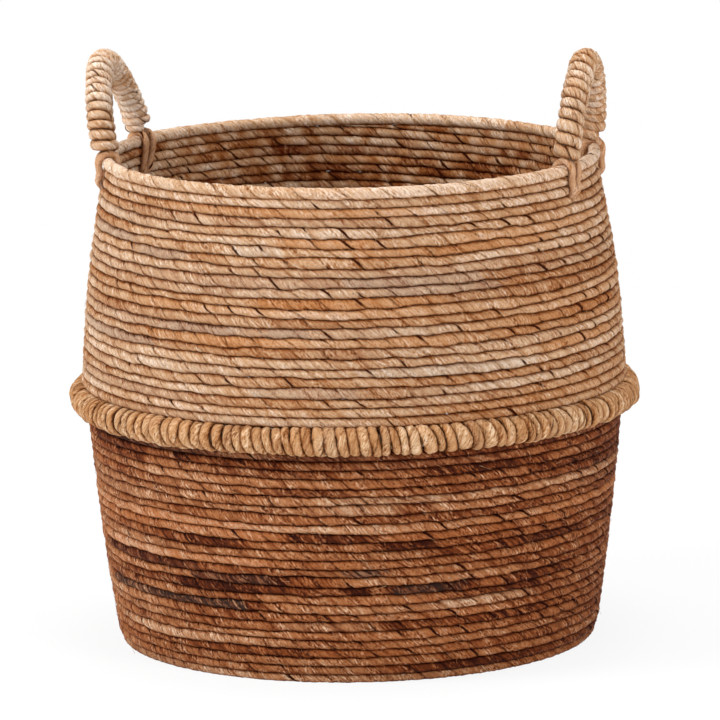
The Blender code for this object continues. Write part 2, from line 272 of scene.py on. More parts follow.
WRAP_LEAF = LeafFinish(
    name="pale_leaf",
    slot="pale_leaf_wrap",
    **leaf_colours(
        dark=(78, 27, 6), low=(146, 86, 41), middle=(197, 149, 103), pale=(247, 221, 188),
        grey=(184, 156, 128), warm=(196, 128, 70), slit_colour=(58, 25, 9),
    ),
    fibre_count=4.0,
    fibre_stretch=90.0,
    tone_spread=0.55,
    strand_spread=0.30,
    blotch_spread=0.46,
    crumple_spread=0.60,
    crumple_depth=1.10,
    # Deep painted shade in the grooves between the ring's turns
    joint_share=0.84,
)
CORE_LEAF = LeafFinish(
    name="inner_leaf",
    slot="inner_leaf",
    **leaf_colours(
        dark=(34, 20, 14), low=(64, 40, 26), middle=(96, 62, 40), pale=(130, 92, 62), grey=(96, 74, 56),
        warm=(100, 58, 32), slit_colour=(20, 11, 8),
    ),
    base_roughness=0.8,
)


class ShaderBench:
    """Adds nodes to a tree and wires them, so that a pattern reads from top to bottom."""

    def __init__(self, tree: bpy.types.NodeTree) -> None:
        """Take the tree that the nodes go into."""
        self.tree = tree

    def add(self, kind: str, **settings: object) -> bpy.types.Node:
        """Add one node.

        Args:
            kind: The node's type.
            **settings: Properties to set on it.

        Returns:
            The new node.
        """
        node = self.tree.nodes.new(kind)
        for name, value in settings.items():
            setattr(node, name, value)
        return node

    def feed(self, socket: bpy.types.NodeSocket, value: object) -> None:
        """Link a socket to another one, or set it to a plain value.

        Args:
            socket: The input that is fed.
            value: The output to link, or the value to set.
        """
        if isinstance(value, bpy.types.NodeSocket):
            self.tree.links.new(value, socket)
        else:
            socket.default_value = value

    def math(self, operation: str, *values: object, clamp: bool = False) -> bpy.types.NodeSocket:
        """Return the result of one Math node.

        Args:
            operation: What the node does.
            *values: What it works on.
            clamp: Whether the result is held between 0 and 1.

        Returns:
            The node's output.
        """
        node = self.add("ShaderNodeMath", operation=operation, use_clamp=clamp)
        for socket, value in zip(node.inputs, values):
            self.feed(socket, value)
        return node.outputs[0]

    def times(self, *values: object, clamp: bool = False) -> bpy.types.NodeSocket:
        """Return the first value times the second."""
        return self.math("MULTIPLY", *values, clamp=clamp)

    def times_plus(self, *values: object, clamp: bool = False) -> bpy.types.NodeSocket:
        """Return the first value times the second, plus the third."""
        return self.math("MULTIPLY_ADD", *values, clamp=clamp)

    def swing(self, value: object, noise: object, spread: object) -> bpy.types.NodeSocket:
        """Return a value that noise moves up and down within a spread."""
        return self.times_plus(self.math("SUBTRACT", noise, 0.5), spread, value)

    def between(self, value: object, low: object, high: object, smooth: bool = True) -> bpy.types.NodeSocket:
        """Return 0 below the low limit, 1 above the high one, and a ramp between them.

        Args:
            value: What is measured.
            low: Where the ramp starts.
            high: Where it ends.
            smooth: Whether the ramp starts and ends softly.

        Returns:
            The share, from 0 to 1.
        """
        kind = "SMOOTHSTEP" if smooth else "LINEAR"
        node = self.add("ShaderNodeMapRange", interpolation_type=kind, clamp=True)
        for title, limit in (("Value", value), ("From Min", low), ("From Max", high)):
            self.feed(node.inputs[title], limit)
        return node.outputs["Result"]

    def place(self, x: object, y: object, z: object) -> bpy.types.NodeSocket:
        """Return three numbers joined as one place.

        Args:
            x: The first number.
            y: The second one.
            z: The third one.

        Returns:
            The place.
        """
        node = self.add("ShaderNodeCombineXYZ")
        for socket, value in zip(node.inputs, (x, y, z)):
            self.feed(socket, value)
        return node.outputs[0]

    def noise(
        self, place: object, scale: float, detail: float = 2.0, rough: float = 0.5
    ) -> bpy.types.NodeSocket:
        """Return cloudy noise from 0 to 1 at a place.

        Args:
            place: Where the noise is read.
            scale: How fine it is.
            detail: How many finer layers it has.
            rough: How strong the finer layers are.

        Returns:
            The noise.
        """
        node = self.add("ShaderNodeTexNoise", noise_dimensions="3D", normalize=True)
        for title, value in (("Vector", place), ("Scale", scale), ("Detail", detail), ("Roughness", rough)):
            self.feed(node.inputs[title], value)
        return node.outputs["Fac"]

    def mix(self, share: object, first: object, second: object) -> bpy.types.NodeSocket:
        """Return a blend of two colours.

        Args:
            share: How much of the second colour shows.
            first: The first colour.
            second: The second colour.

        Returns:
            The blend.
        """
        node = self.add("ShaderNodeMix", data_type="RGBA", clamp_factor=True)
        for socket, value in zip((node.inputs[0], node.inputs[6], node.inputs[7]), (share, first, second)):
            self.feed(socket, value)
        return node.outputs[2]


def new_material(name: str) -> tuple[bpy.types.Material, ShaderBench, bpy.types.Node]:
    """Return a new material, a bench for its nodes and its surface shader.

    Args:
        name: The material's name.

    Returns:
        The material, the bench and the shader node.
    """
    material = bpy.data.materials.new(name)
    material.use_nodes = True
    return material, ShaderBench(material.node_tree), material.node_tree.nodes["Principled BSDF"]


@dataclass(frozen=True)
class LeafNoise:
    """A cloudy pattern laid on a rope: how fine it is round the rope and along each metre of it."""

    around: float
    along: float
    scale: float = 1.0
    detail: float = 2.0
    rough: float = 0.6
    turns_in_metre: float = 0.0


class LeafPattern:
    """The shader group that draws leaf fibres, blotches and specks, and painted shade in slits and between
    ropes.
    """

    TITLE = "twisted_leaf"
    # Joint is where a rope lies against the next one, where the group paints the groove's shade; Slit is how
    # far the strip's edge gapes
    LAY_INPUTS = ("Along", "Around", "Tone", "Warmth", "Slit", "Joint")
    OUTPUTS = {"Colour": "NodeSocketColor", "Roughness": "NodeSocketFloat", "Height": "NodeSocketFloat"}
    STRANDS = LeafNoise(1.05, 21.0, detail=1.0, rough=0.5)
    BLOTCHES = LeafNoise(1.0, 75.0, scale=0.9, rough=0.55)
    CRUMPLES = LeafNoise(3.4, 900.0, scale=0.55, detail=3.0)
    SPECKS = LeafNoise(3.4, 900.0, scale=0.95, detail=1.0)
    FLECKS = LeafNoise(2.1, 330.0, rough=0.7)
    LOOSE_FIBRES = LeafNoise(3.4, 150.0, turns_in_metre=17)
    PATCHES = LeafNoise(0.5, 30.0, detail=1.0, rough=0.5)
    # How wide the painted shade of a slit is, and how dark its faint line along the strip's edge
    RAGGED_SPREAD = 0.10
    LEAST_GAPE = 0.017
    OPEN_GAPE = 0.10
    FAINT_LINE = 0.68
    # Where the painted shade of the groove against the next rope starts, and how soft its edge is
    JOINT_START = 0.77
    JOINT_RAMP = 0.22
    TONE_STOPS = (0.0, 0.33, 0.62, 1.0)

    def __init__(self) -> None:
        """Open the group's tree, with its sockets and the noises that its masks share."""
        self.tree = bpy.data.node_groups.new(self.TITLE, "ShaderNodeTree")
        kinds = dict.fromkeys(self.LAY_INPUTS, "NodeSocketFloat")
        for title, value in UPPER_LEAF.group_inputs().items():
            kinds[title] = "NodeSocketColor" if isinstance(value, tuple) else "NodeSocketFloat"
        for way, sockets in (("INPUT", kinds), ("OUTPUT", self.OUTPUTS)):
            for title, kind in sockets.items():
                self.tree.interface.new_socket(title, in_out=way, socket_type=kind)
        self.bench = bench = ShaderBench(self.tree)
        self.given = given = bench.add("NodeGroupInput").outputs
        self.angle = bench.times(given["Around"], math.tau)
        self.cosine = bench.math("COSINE", self.angle)
        self.sine = bench.math("SINE", self.angle)
        along_fibres = bench.times(given["Along"], given["Fibre Stretch"])
        on_fibres = self.on_rope(self.cosine, self.sine, given["Fibre Count"], along_fibres)
        self.fibres = bench.noise(on_fibres, 1.0, 3.0, 0.62)
        self.fine = bench.noise(on_fibres, 2.9, 2.0, 0.6)
        self.strands = self.noise(self.STRANDS)
        self.blotches = self.noise(self.BLOTCHES)
        self.crumples = self.noise(self.CRUMPLES)
        self.flecks = self.noise(self.FLECKS)
        self.loose = self.noise(self.LOOSE_FIBRES)
        tangle = bench.between(self.noise(self.PATCHES), 0.40, 0.62)
        self.tangled = bench.times_plus(tangle, 1.35, 0.35)
        self.stroked = bench.times(given["Stroke Spread"], self.tangled)
        opposite = bench.math("SUBTRACT", 1.0, given["Around"])
        self.from_edge = bench.math("MINIMUM", given["Around"], opposite)

    def on_rope(self, cosine: object, sine: object, around: object, along: object) -> bpy.types.NodeSocket:
        """Return a place on a rope of a given girth, which noise reads without a seam."""
        bench = self.bench
        return bench.place(bench.times(cosine, around), bench.times(sine, around), along)

    def noise(self, pattern: LeafNoise) -> bpy.types.NodeSocket:
        """Return one cloudy pattern, laid on the rope.

        Args:
            pattern: How fine it is, and how it turns round the rope.

        Returns:
            The noise, from 0 to 1.
        """
        bench, along = self.bench, self.given["Along"]
        cosine, sine = self.cosine, self.sine
        if pattern.turns_in_metre:
            skewed = bench.times_plus(along, pattern.turns_in_metre * math.tau, self.angle)
            cosine, sine = bench.math("COSINE", skewed), bench.math("SINE", skewed)
        place = self.on_rope(cosine, sine, pattern.around, bench.times(along, pattern.along))
        return bench.noise(place, pattern.scale, pattern.detail, pattern.rough)

    def slit(self) -> bpy.types.NodeSocket:
        """Return the painted shade where the strip's edge gapes: ragged where it is open, and a faint line of
        it elsewhere.

        Returns:
            The share of the painted shade, from 0 to 1.
        """
        bench, given = self.bench, self.given
        ragged = bench.swing(self.from_edge, self.crumples, self.RAGGED_SPREAD)
        opened = bench.times(given["Slit"], self.fine)
        gape = bench.times_plus(opened, self.OPEN_GAPE, self.LEAST_GAPE)
        shut = bench.between(ragged, bench.times(gape, 0.5), gape)
        faint = bench.times(bench.between(self.fine, 0.38, 0.60), self.FAINT_LINE)
        deepest = bench.math("MAXIMUM", given["Slit"], faint)
        return bench.times(bench.math("SUBTRACT", 1.0, shut), deepest, clamp=True)

    def joint(self) -> bpy.types.NodeSocket:
        """Return the dark in the groove where a rope lies against the next one: painted shade, with some real
        dirt in the groove.

        Returns:
            The share of the painted shade.
        """
        bench, given = self.bench, self.given
        start = bench.swing(self.JOINT_START, self.crumples, 0.40)
        start = bench.swing(start, self.fine, 0.30)
        joint = bench.between(given["Joint"], start, bench.math("ADD", start, self.JOINT_RAMP))
        part = bench.times_plus(bench.between(self.strands, 0.25, 0.50), 0.5, 0.5)
        return bench.times(joint, bench.times(part, given["Joint Share"]))

    def tone(self) -> bpy.types.NodeSocket:
        """Return how pale the leaf is, from 0 for dark to 1 for pale, with painted shade near its edges and
        joints.

        Returns:
            The tone.
        """
        bench, given = self.bench, self.given
        crumpled = bench.times(given["Crumple Spread"], self.tangled)
        uneven = bench.times(given["Fleck Spread"], bench.math("SUBTRACT", 1.6, given["Tone"]))
        uneven = bench.times(uneven, self.tangled)
        tone = given["Tone"]
        for noise, spread in (
            (self.fibres, given["Tone Spread"]),
            (self.fine, given["Tone Spread"]),
            (self.strands, given["Strand Spread"]),
            (self.blotches, given["Blotch Spread"]),
            (self.crumples, crumpled),
            (self.loose, self.stroked),
            (self.flecks, uneven),
        ):
            tone = bench.swing(tone, noise, spread)
        # Painted shade in the groove beside the strip's edge
        edge_groove_shade = bench.math("SUBTRACT", 1.0, bench.between(self.from_edge, 0.0, 0.15))
        tone = bench.times_plus(edge_groove_shade, -0.10, tone)
        # Painted shade: the leaf darker towards the sides that lie against the next rope
        return bench.times_plus(bench.between(given["Joint"], 0.40, 0.95), -0.20, tone)

    def shade(self, tone: bpy.types.NodeSocket) -> bpy.types.NodeSocket:
        """Return the leaf's colour, before its slits and joints are drawn.

        Args:
            tone: How pale the leaf is.

        Returns:
            The colour.
        """
        bench, given = self.bench, self.given
        ashen = bench.between(bench.times(given["Warmth"], -1.0), 0.55, 1.05)
        colour = deep = bench.mix(ashen, given["Dark"], given["Ash"])
        for low, high, title in zip(self.TONE_STOPS, self.TONE_STOPS[1:], ("Low", "Middle", "Pale")):
            colour = bench.mix(bench.between(tone, low, high, smooth=False), colour, given[title])
        lit = bench.between(tone, 0.1, 0.45)
        hue = bench.swing(given["Warmth"], self.blotches, 0.9)
        for title, side, share in (("Grey", -0.75, 0.55), ("Warm", 0.85, 0.48)):
            reach = bench.times(bench.times(hue, side, clamp=True), lit)
            colour = bench.mix(reach, colour, bench.mix(share, colour, given[title]))
        speck_start = bench.times_plus(self.blotches, -0.18, 0.71)
        speck_end = bench.math("ADD", speck_start, 0.06)
        specks = bench.between(self.noise(self.SPECKS), speck_start, speck_end)
        specks = bench.times(specks, given["Speck Share"])
        dark_flecks = bench.times(bench.between(self.flecks, 0.62, 0.72), given["Fleck Spread"])
        colour = bench.mix(bench.math("MAXIMUM", specks, dark_flecks), colour, deep)
        strokes = bench.times(bench.between(self.loose, 0.62, 0.78), self.stroked)
        strokes = bench.times(bench.times(strokes, 0.55), lit)
        return bench.mix(strokes, colour, given["Pale"])

    def build(self) -> bpy.types.NodeTree:
        """Wire the group's outputs.

        Returns:
            The group.
        """
        bench, given = self.bench, self.given
        result = bench.add("NodeGroupOutput").inputs
        slit = self.slit()
        colour = self.shade(self.tone())
        # Slits and the grooves between ropes take the painted shade colour
        dark = bench.math("MAXIMUM", slit, self.joint())
        bench.feed(result["Colour"], bench.mix(dark, colour, given["Slit Colour"]))
        height = bench.times_plus(self.fibres, 0.62, bench.times(self.fine, 0.3))
        for noise, share in (
            (self.strands, 0.4),
            (self.crumples, given["Crumple Depth"]),
            (self.loose, 0.25),
            (slit, -0.9),
        ):
            height = bench.times_plus(noise, share, height)
        bench.feed(result["Height"], height)
        rough = bench.swing(given["Base Roughness"], self.fibres, -0.3)
        bench.feed(result["Roughness"], bench.times_plus(slit, 0.2, rough, clamp=True))
        return self.tree


def leaf_material(finish: LeafFinish) -> bpy.types.Material:
    """Return the material of one leaf finish.

    Args:
        finish: The colours and surface of the leaf.

    Returns:
        The material, built on its first use.
    """
    if finish.name in bpy.data.materials:
        return bpy.data.materials[finish.name]
    material, bench, shader = new_material(finish.name)
    lay = bench.add("ShaderNodeSeparateXYZ")
    bench.feed(lay.inputs[0], bench.add("ShaderNodeUVMap", uv_map="UVMap").outputs[0])
    pattern = bpy.data.node_groups.get(LeafPattern.TITLE) or LeafPattern().build()
    group = bench.add("ShaderNodeGroup", node_tree=pattern)
    bench.feed(group.inputs["Along"], lay.outputs[0])
    bench.feed(group.inputs["Around"], lay.outputs[1])
    # Joint tells the group where the painted groove shade falls, and Slit how far the slit opens
    for title in ("Tone", "Warmth", "Slit", "Joint"):
        source = bench.add("ShaderNodeAttribute", attribute_type="GEOMETRY", attribute_name=title.lower())
        bench.feed(group.inputs[title], source.outputs["Fac"])
    for title, value in finish.group_inputs().items():
        group.inputs[title].default_value = value
    bump = bench.add("ShaderNodeBump")
    bump.inputs["Strength"].default_value = 1.0
    bump.inputs["Distance"].default_value = finish.fibre_depth
    bench.feed(bump.inputs["Height"], group.outputs["Height"])
    bench.feed(shader.inputs["Base Color"], group.outputs["Colour"])
    bench.feed(shader.inputs["Roughness"], group.outputs["Roughness"])
    bench.feed(shader.inputs["Normal"], bump.outputs["Normal"])
    shader.inputs["Specular IOR Level"].default_value = finish.specular
    return material


# Rope


@dataclass(frozen=True)
class RopeStock:
    """How one kind of rope is twisted from a leaf strip, and which of its sides lie against a neighbour and
    get painted groove shade.
    """

    lay_length: float = 0.0215
    lay_wander: float = 0.9
    edge_height: float = 0.00066
    crease_height: float = 0.00040
    crease_length: float = 0.0075
    lump_share: float = 0.075
    lump_length: float = 0.035
    columns: int = 14
    slit_reach: float = 1.0
    # How much painted groove shade the rope's upper and lower sides get where they lie against a neighbour
    joint_over: float = 1.0
    joint_under: float = 1.0
    # How much more slit, with its painted shade, the side that faces inwards has
    inner_slit: float = 0.0
    inner_mottle: float = 0.0

    def places(self) -> np.ndarray:
        """Return where the mesh's columns lie across the strip, close together at its edge.

        Returns:
            The places, from 0 to 1.
        """
        first, second, last_but_one, last = STRIP_PLACES
        body = np.linspace(STRIP_BODY_START, last_but_one, self.columns - 2)
        return np.concatenate(([first, second], body, [last]))


@dataclass
class RopePath:
    """The places, directions, half sizes and shades of a rope from end to end.

    The tone and the warmth have a value for each place, or a row of values across the strip.
    """

    centre: np.ndarray
    outward: np.ndarray
    half_out: np.ndarray
    half_across: np.ndarray
    tone: np.ndarray
    warmth: np.ndarray
    along: np.ndarray = field(init=False)

    def __post_init__(self) -> None:
        """Measure the path, and square the outward direction to it."""
        self.along = lengths_along(self.centre)
        self.tangent = unit(np.gradient(self.centre, axis=0))
        lengthwise = (self.outward * self.tangent).sum(axis=1)[:, None]
        self.outward = unit(self.outward - self.tangent * lengthwise)
        self.across = np.cross(self.outward, self.tangent)


def deselect_all() -> None:
    """Deselect every object."""
    for scene_object in bpy.context.view_layer.objects:
        scene_object.select_set(False)


class RopeMaker:
    """Turns rope paths into closed meshes."""

    wander_waves = ((1.0, 0.055), (0.4, 0.021))
    opening_waves = ((0.5, 0.0070), (0.35, 0.045))
    opening_start = 0.67
    opening_ramp = 0.26
    shut_height = 0.25
    lump_across = 0.4
    inner_ramp = 1.6
    weld = 0.000002

    def __init__(self, seed: int) -> None:
        """Start the random numbers that every rope of this maker draws on."""
        self.rng = np.random.default_rng(seed)

    def twist(self, path: RopePath, stock: RopeStock) -> np.ndarray:
        """Return how far round the rope the strip's edge lies at each place, in radians."""
        wander = drifts(self.rng, path.along, *self.wander_waves)
        return -math.tau * path.along / stock.lay_length + stock.lay_wander * wander

    def relief(self, path: RopePath, stock: RopeStock, places: np.ndarray) -> tuple[np.ndarray, np.ndarray]:
        """Return how proud each mesh point stands and how open the slit is along the rope.

        Args:
            path: The rope's path.
            stock: How the rope is twisted.
            places: Where the columns lie across the strip.

        Returns:
            The height of each point over the plain rope, and the opening of the slit at each place.
        """
        along = path.along
        opening = 0.5 + drifts(self.rng, along, *self.opening_waves)
        opening = soft_step((opening - self.opening_start) / self.opening_ramp)
        edge = np.interp(places, STRIP_PLACES, STRIP_HEIGHTS)
        gape = self.shut_height + (1 - self.shut_height) * opening
        height = stock.edge_height * edge[None, :] * gape[:, None]
        creases = [drift(self.rng, along, stock.crease_length) for _ in places[:-1]]
        height[:, :-1] += stock.crease_height * np.array(creases).T
        height[:, -1] = height[:, 0]
        return height, opening * stock.slit_reach

    def make(self, name: str, path: RopePath, stock: RopeStock, finish: LeafFinish) -> bpy.types.Object:
        """Lay a rope's skin along its path.

        Args:
            name: The piece's name.
            path: The rope's path.
            stock: How the rope is twisted.
            finish: The leaf that it is twisted from.

        Returns:
            The finished piece.
        """
        places = stock.places()
        twist = self.twist(path, stock)
        height, slit = self.relief(path, stock, places)
        lumps = drifts(self.rng, path.along, (1.0, stock.lump_length), (0.75, stock.lump_length / 5))
        lump = 1 + stock.lump_share * lumps
        angle = math.tau * places[None, :] + twist[:, None]
        cosine, sine = np.cos(angle), np.sin(angle)
        out = (path.half_out * lump)[:, None] + height
        across = (path.half_across * (1 + (lump - 1) * self.lump_across))[:, None] + height
        points = path.centre[:, None, :] + (
            path.outward[:, None, :] * (out * cosine)[:, :, None]
            + path.across[:, None, :] * (across * sine)[:, :, None]
        )
        points[..., 2] = np.maximum(points[..., 2], FLOOR_GAP)
        # Painted shade where the rope lies against its neighbours, strongest at the sides that meet them
        groove_shade = np.abs(sine) * np.where(sine > 0, stock.joint_over, stock.joint_under)
        first = self.tip(points[0], path.centre[0], -path.tangent[0])
        last = self.tip(points[-1], path.centre[-1], path.tangent[-1])[::-1]
        points = np.concatenate([first, points, last])
        along = np.pad(path.along, TIP_ROWS, mode="reflect", reflect_type="odd")
        inner = soft_step(-self.inner_ramp * cosine)
        tone = path.tone if path.tone.ndim == 2 else path.tone[:, None] + np.zeros_like(inner)
        tone = tone + stock.inner_mottle * inner * (drift(self.rng, path.along, 0.009) - 0.3)[:, None]
        # More slits, and so more painted shade, in patches on the side that faces inwards
        seen = soft_step(0.55 + 0.75 * drift(self.rng, path.along, 0.016))
        slit = np.clip(slit[:, None] + stock.inner_slit * inner * seen[:, None], 0, 1)
        shades = {"tone": tone, "warmth": path.warmth, "slit": slit, "joint": groove_shade}
        for title, values in shades.items():
            sides = [(TIP_ROWS, TIP_ROWS)] + [(0, 0)] * (values.ndim - 1)
            shades[title] = np.pad(values, sides, mode="edge")
        piece = self.skin(name, points, along, places, shades)
        piece.data.materials.append(leaf_material(finish))
        LOG.info("%s: %.2f m of rope, %d places", name, path.along[-1], len(path.along))
        return piece

    @staticmethod
    def tip(ring: np.ndarray, centre: np.ndarray, outward: np.ndarray) -> np.ndarray:
        """Return the rings that close a rope's end, drawn in step by step from the tip inwards.

        Args:
            ring: The rope's last full ring of points.
            centre: The ring's middle.
            outward: The direction out of the rope's end.

        Returns:
            The rings, the tip first.
        """
        size = float(np.linalg.norm(ring - centre, axis=1).mean())
        steps = [centre + (ring - centre) * share + outward * reach * size for share, reach in TIP_STEPS]
        return np.array(steps)

    def skin(
        self,
        name: str,
        points: np.ndarray,
        along: np.ndarray,
        places: np.ndarray,
        shades: dict[str, np.ndarray],
    ) -> bpy.types.Object:
        """Wrap a flat grid round the points of a rope, and weld its seam and tips.

        Args:
            name: The piece's name.
            points: The place of each point, row by row along the rope.
            along: The distance along the rope of each row.
            places: Where the columns lie across the strip.
            shades: A named shade for each row, or for each point of each row.

        Returns:
            The closed piece.
        """
        rows, columns = points.shape[:2]
        deselect_all()
        bpy.ops.mesh.primitive_grid_add(x_subdivisions=rows - 1, y_subdivisions=columns - 1, size=1.0)
        piece = bpy.context.view_layer.objects.active
        piece.name = name
        mesh = piece.data
        mesh.name = name
        flat = np.empty(len(mesh.vertices) * 3, dtype=np.float32)
        mesh.vertices.foreach_get("co", flat)
        flat = flat.reshape(-1, 3)
        row = np.rint((flat[:, 0] + 0.5) * (rows - 1)).astype(int)
        column = np.rint((flat[:, 1] + 0.5) * (columns - 1)).astype(int)
        mesh.vertices.foreach_set("co", points[row, column].astype(np.float32).ravel())
        corner = np.empty(len(mesh.loops), dtype=np.int32)
        mesh.loops.foreach_get("vertex_index", corner)
        chart = mesh.uv_layers[0]
        chart.name = "UVMap"
        laid = np.column_stack((along[row[corner]], places[column[corner]])).astype(np.float32)
        chart.uv.foreach_set("vector", laid.ravel())
        for title, values in shades.items():
            layer = mesh.attributes.new(title, "FLOAT", "POINT")
            picked = values[row] if values.ndim == 1 else values[row, column]
            layer.data.foreach_set("value", picked.astype(np.float32))
        bpy.ops.object.mode_set(mode="EDIT")
        bpy.ops.mesh.select_all(action="SELECT")
        bpy.ops.mesh.remove_doubles(threshold=self.weld)
        bpy.ops.mesh.normals_make_consistent(inside=False)
        bpy.ops.object.mode_set(mode="OBJECT")
        bpy.ops.object.shade_smooth()
        return piece


# Walls


@dataclass(frozen=True)
class Streak:
    """A stretch of one loop whose leaf is darker, paler, greyer or warmer than the rest."""

    loop: int
    start: float
    end: float
    tone: float = 0.0
    warmth: float = 0.0


@dataclass
class CoiledWall:
    """A wall of rope wound in level loops, each climbing to the next at the back."""

    name: str
    loops: int
    rope_diameter: float
    finish: LeafFinish
    seed: int
    loop_tones: tuple[float, ...]
    loop_warmths: tuple[float, ...]
    streaks: tuple[Streak, ...] = ()
    stock: RopeStock = RopeStock(lay_length=0.027, inner_slit=0.62, inner_mottle=0.24)
    step: float = 0.0026
    table: np.ndarray = field(init=False)
    common_wave: float = 0.0010
    single_wave: float = 0.0006
    strip_tone: float = 0.11
    strip_warmth: float = 0.36
    # Painted light: how much paler and greyer the wall is on its side towards the key lamp, and that side's
    # direction
    faded: float = 0.0
    faded_angle: float = math.radians(215)
    greyed_side: float = 0.0
    mottle: float = 0.07
    fuller: float = 0.0016
    frayed_degrees: float = 2.6
    wave_places: int = 721
    tightness: float = 1.015
    end_setback: float = 0.03
    end_thickness: float = 0.08
    end_flattening: float = 0.3

    def profile(self) -> np.ndarray:
        """Return places (radius, height) down the middle of the wall, from bottom to top."""
        raise NotImplementedError

    def levels(self) -> np.ndarray:
        """Return the (radius, height) of each loop, evenly spaced along the profile.

        Returns:
            A row for each loop, from the bottom to the top.
        """
        profile = self.profile()
        along = lengths_along(profile)
        stops = np.linspace(0, along[-1], self.loops)
        return resampled(stops, along, profile)

    def waves(self, rng: np.random.Generator) -> np.ndarray:
        """Return how far the joint under each loop lies off its level, all the way round.

        Args:
            rng: The source of the random waves.

        Returns:
            A table with a row for each joint, from the bottom to the top, and a column for each step
            of half a degree.
        """
        angle = np.linspace(0, math.tau, self.wave_places)

        def wave(lowest: int, highest: int, fade: float) -> np.ndarray:
            """Return a random wave round the wall.

            Args:
                lowest: The fewest waves round the wall.
                highest: One more than the most waves.
                fade: How much smaller the shorter waves are.

            Returns:
                The height of the wave at each angle.
            """
            total = np.zeros_like(angle)
            for number in range(lowest, highest):
                size = number**-fade
                rise = size * rng.normal() * np.cos(number * angle)
                total += rise + size * rng.normal() * np.sin(number * angle)
            return total / np.sqrt(sum(number ** (-2 * fade) for number in range(lowest, highest)))

        joints = self.loops + 1
        share = np.linspace(0, 1, joints)
        hold = soft_step(np.minimum(share, 1 - share) * 6)
        common = [wave(1, 6, 0.8) for _ in range(3)]
        table = np.zeros((joints, len(angle)))
        for joint in range(joints):
            blend = 2 * share[joint]
            low = min(int(blend), 1)
            drift_here = common[low] * (1 - blend + low) + common[low + 1] * (blend - low)
            single = wave(2, 9, 0.5) + 0.60 * wave(9, 60, 0.2)
            table[joint] = hold[joint] * (self.common_wave * 0.7 * drift_here + self.single_wave * single)
        return table

    def turns(self, first: int, last: int) -> np.ndarray:
        """Return the turn counts at which the rope between two loops is placed.

        Args:
            first: The first loop.
            last: The last loop.

        Returns:
            The turn counts, in rising order.
        """
        radius = self.levels()[:, 0].mean()
        start = first + (self.end_setback if first == 0 else 0.0)
        end = last + 1 + (CLIMB_SHARE - self.end_setback if last == self.loops - 1 else 0.0)
        return np.linspace(start, end, int((end - start) * math.tau * radius / self.step))

    def path(self, turns: np.ndarray, rng: np.random.Generator) -> RopePath:
        """Return the rope's path at the given turn counts.

        Args:
            turns: The turn count of each place, 0 at the start of the lowest loop.
            rng: The source of the small differences along the rope.

        Returns:
            The path.
        """
        levels, table = self.levels(), self.table
        top = self.loops - 1
        whole = np.floor(turns + 1e-9)
        climbed = soft_step((turns - whole) / CLIMB_SHARE)
        level = np.clip(whole - 1 + climbed, 0, top)
        angle = CLIMB_START + (turns - whole) * math.tau
        radius = np.interp(level, range(self.loops), levels[:, 0])
        height = np.interp(level, range(self.loops), levels[:, 1])
        pitch = float(np.linalg.norm(levels[1] - levels[0]))
        place = np.mod(angle, math.tau) / math.tau * (table.shape[1] - 1)
        column = np.minimum(place.astype(int), table.shape[1] - 2)
        beside = place - column

        def joint(number: np.ndarray) -> np.ndarray:
            """Return how far the joint under a loop lies off its level.

            Args:
                number: The loop over the joint, or a share between two loops, at each place.

            Returns:
                The height at each place.
            """
            low = np.clip(np.floor(number).astype(int), 0, table.shape[0] - 2)
            share = number - low
            near = table[low, column] * (1 - beside) + table[low, column + 1] * beside
            far = table[low + 1, column] * (1 - beside) + table[low + 1, column + 1] * beside
            return near * (1 - share) + far * share

        under, over = joint(level), joint(level + 1)
        room = np.where(whole < 1, climbed, np.where(whole > top, 1 - climbed, 1.0))
        room = np.maximum(room, self.end_thickness)
        tall = (pitch + over - under) * room
        shift = np.where(whole < 1, -0.5, 0.5) * pitch * (1 - room)
        height = height + (under + over) / 2 + shift
        along = lengths_along(round_places(radius, angle, height))
        depth = self.rope_diameter / 2 * room**self.end_flattening * (1 + 0.03 * drift(rng, along, 0.09))
        radius = radius + 0.00025 * drift(rng, along, 0.07)
        tone, warmth = self.shades(level, angle, along, rng)
        return RopePath(
            centre=round_places(radius, angle, height),
            outward=round_places(1.0, angle, 0.0),
            half_out=depth,
            half_across=tall / 2 * self.tightness,
            tone=tone,
            warmth=warmth,
        )

    def shades(
        self, level: np.ndarray, angle: np.ndarray, along: np.ndarray, rng: np.random.Generator
    ) -> tuple[np.ndarray, np.ndarray]:
        """Return the tone and warmth of the leaf along the rope, with painted light on the side towards the
        key lamp.

        Args:
            level: Which loop each place is on.
            angle: The direction of each place from the middle.
            along: The distance along the rope.
            rng: The source of the differences between strips.

        Returns:
            The tone, from 0 for dark to 1 for pale, and the warmth, from -1 for grey to 1 for orange,
            each with a row of values across the strip for every place.
        """
        numbers = range(self.loops)
        columns = self.stock.columns
        patchy = self.across_strip(rng, along, 0.017, columns)
        frayed = self.frayed_degrees * self.across_strip(rng, along, 0.045, columns)
        tone = np.interp(level, numbers, self.loop_tones)
        # Painted light: paler towards the key lamp's side
        tone = tone + self.faded * np.cos(angle - self.faded_angle)
        tone = tone + self.strip_tone * drifts(rng, along, (1.0, 0.16), (0.6, 0.035))
        warmth = np.interp(level, numbers, self.loop_warmths) + self.strip_warmth * drift(rng, along, 0.13)
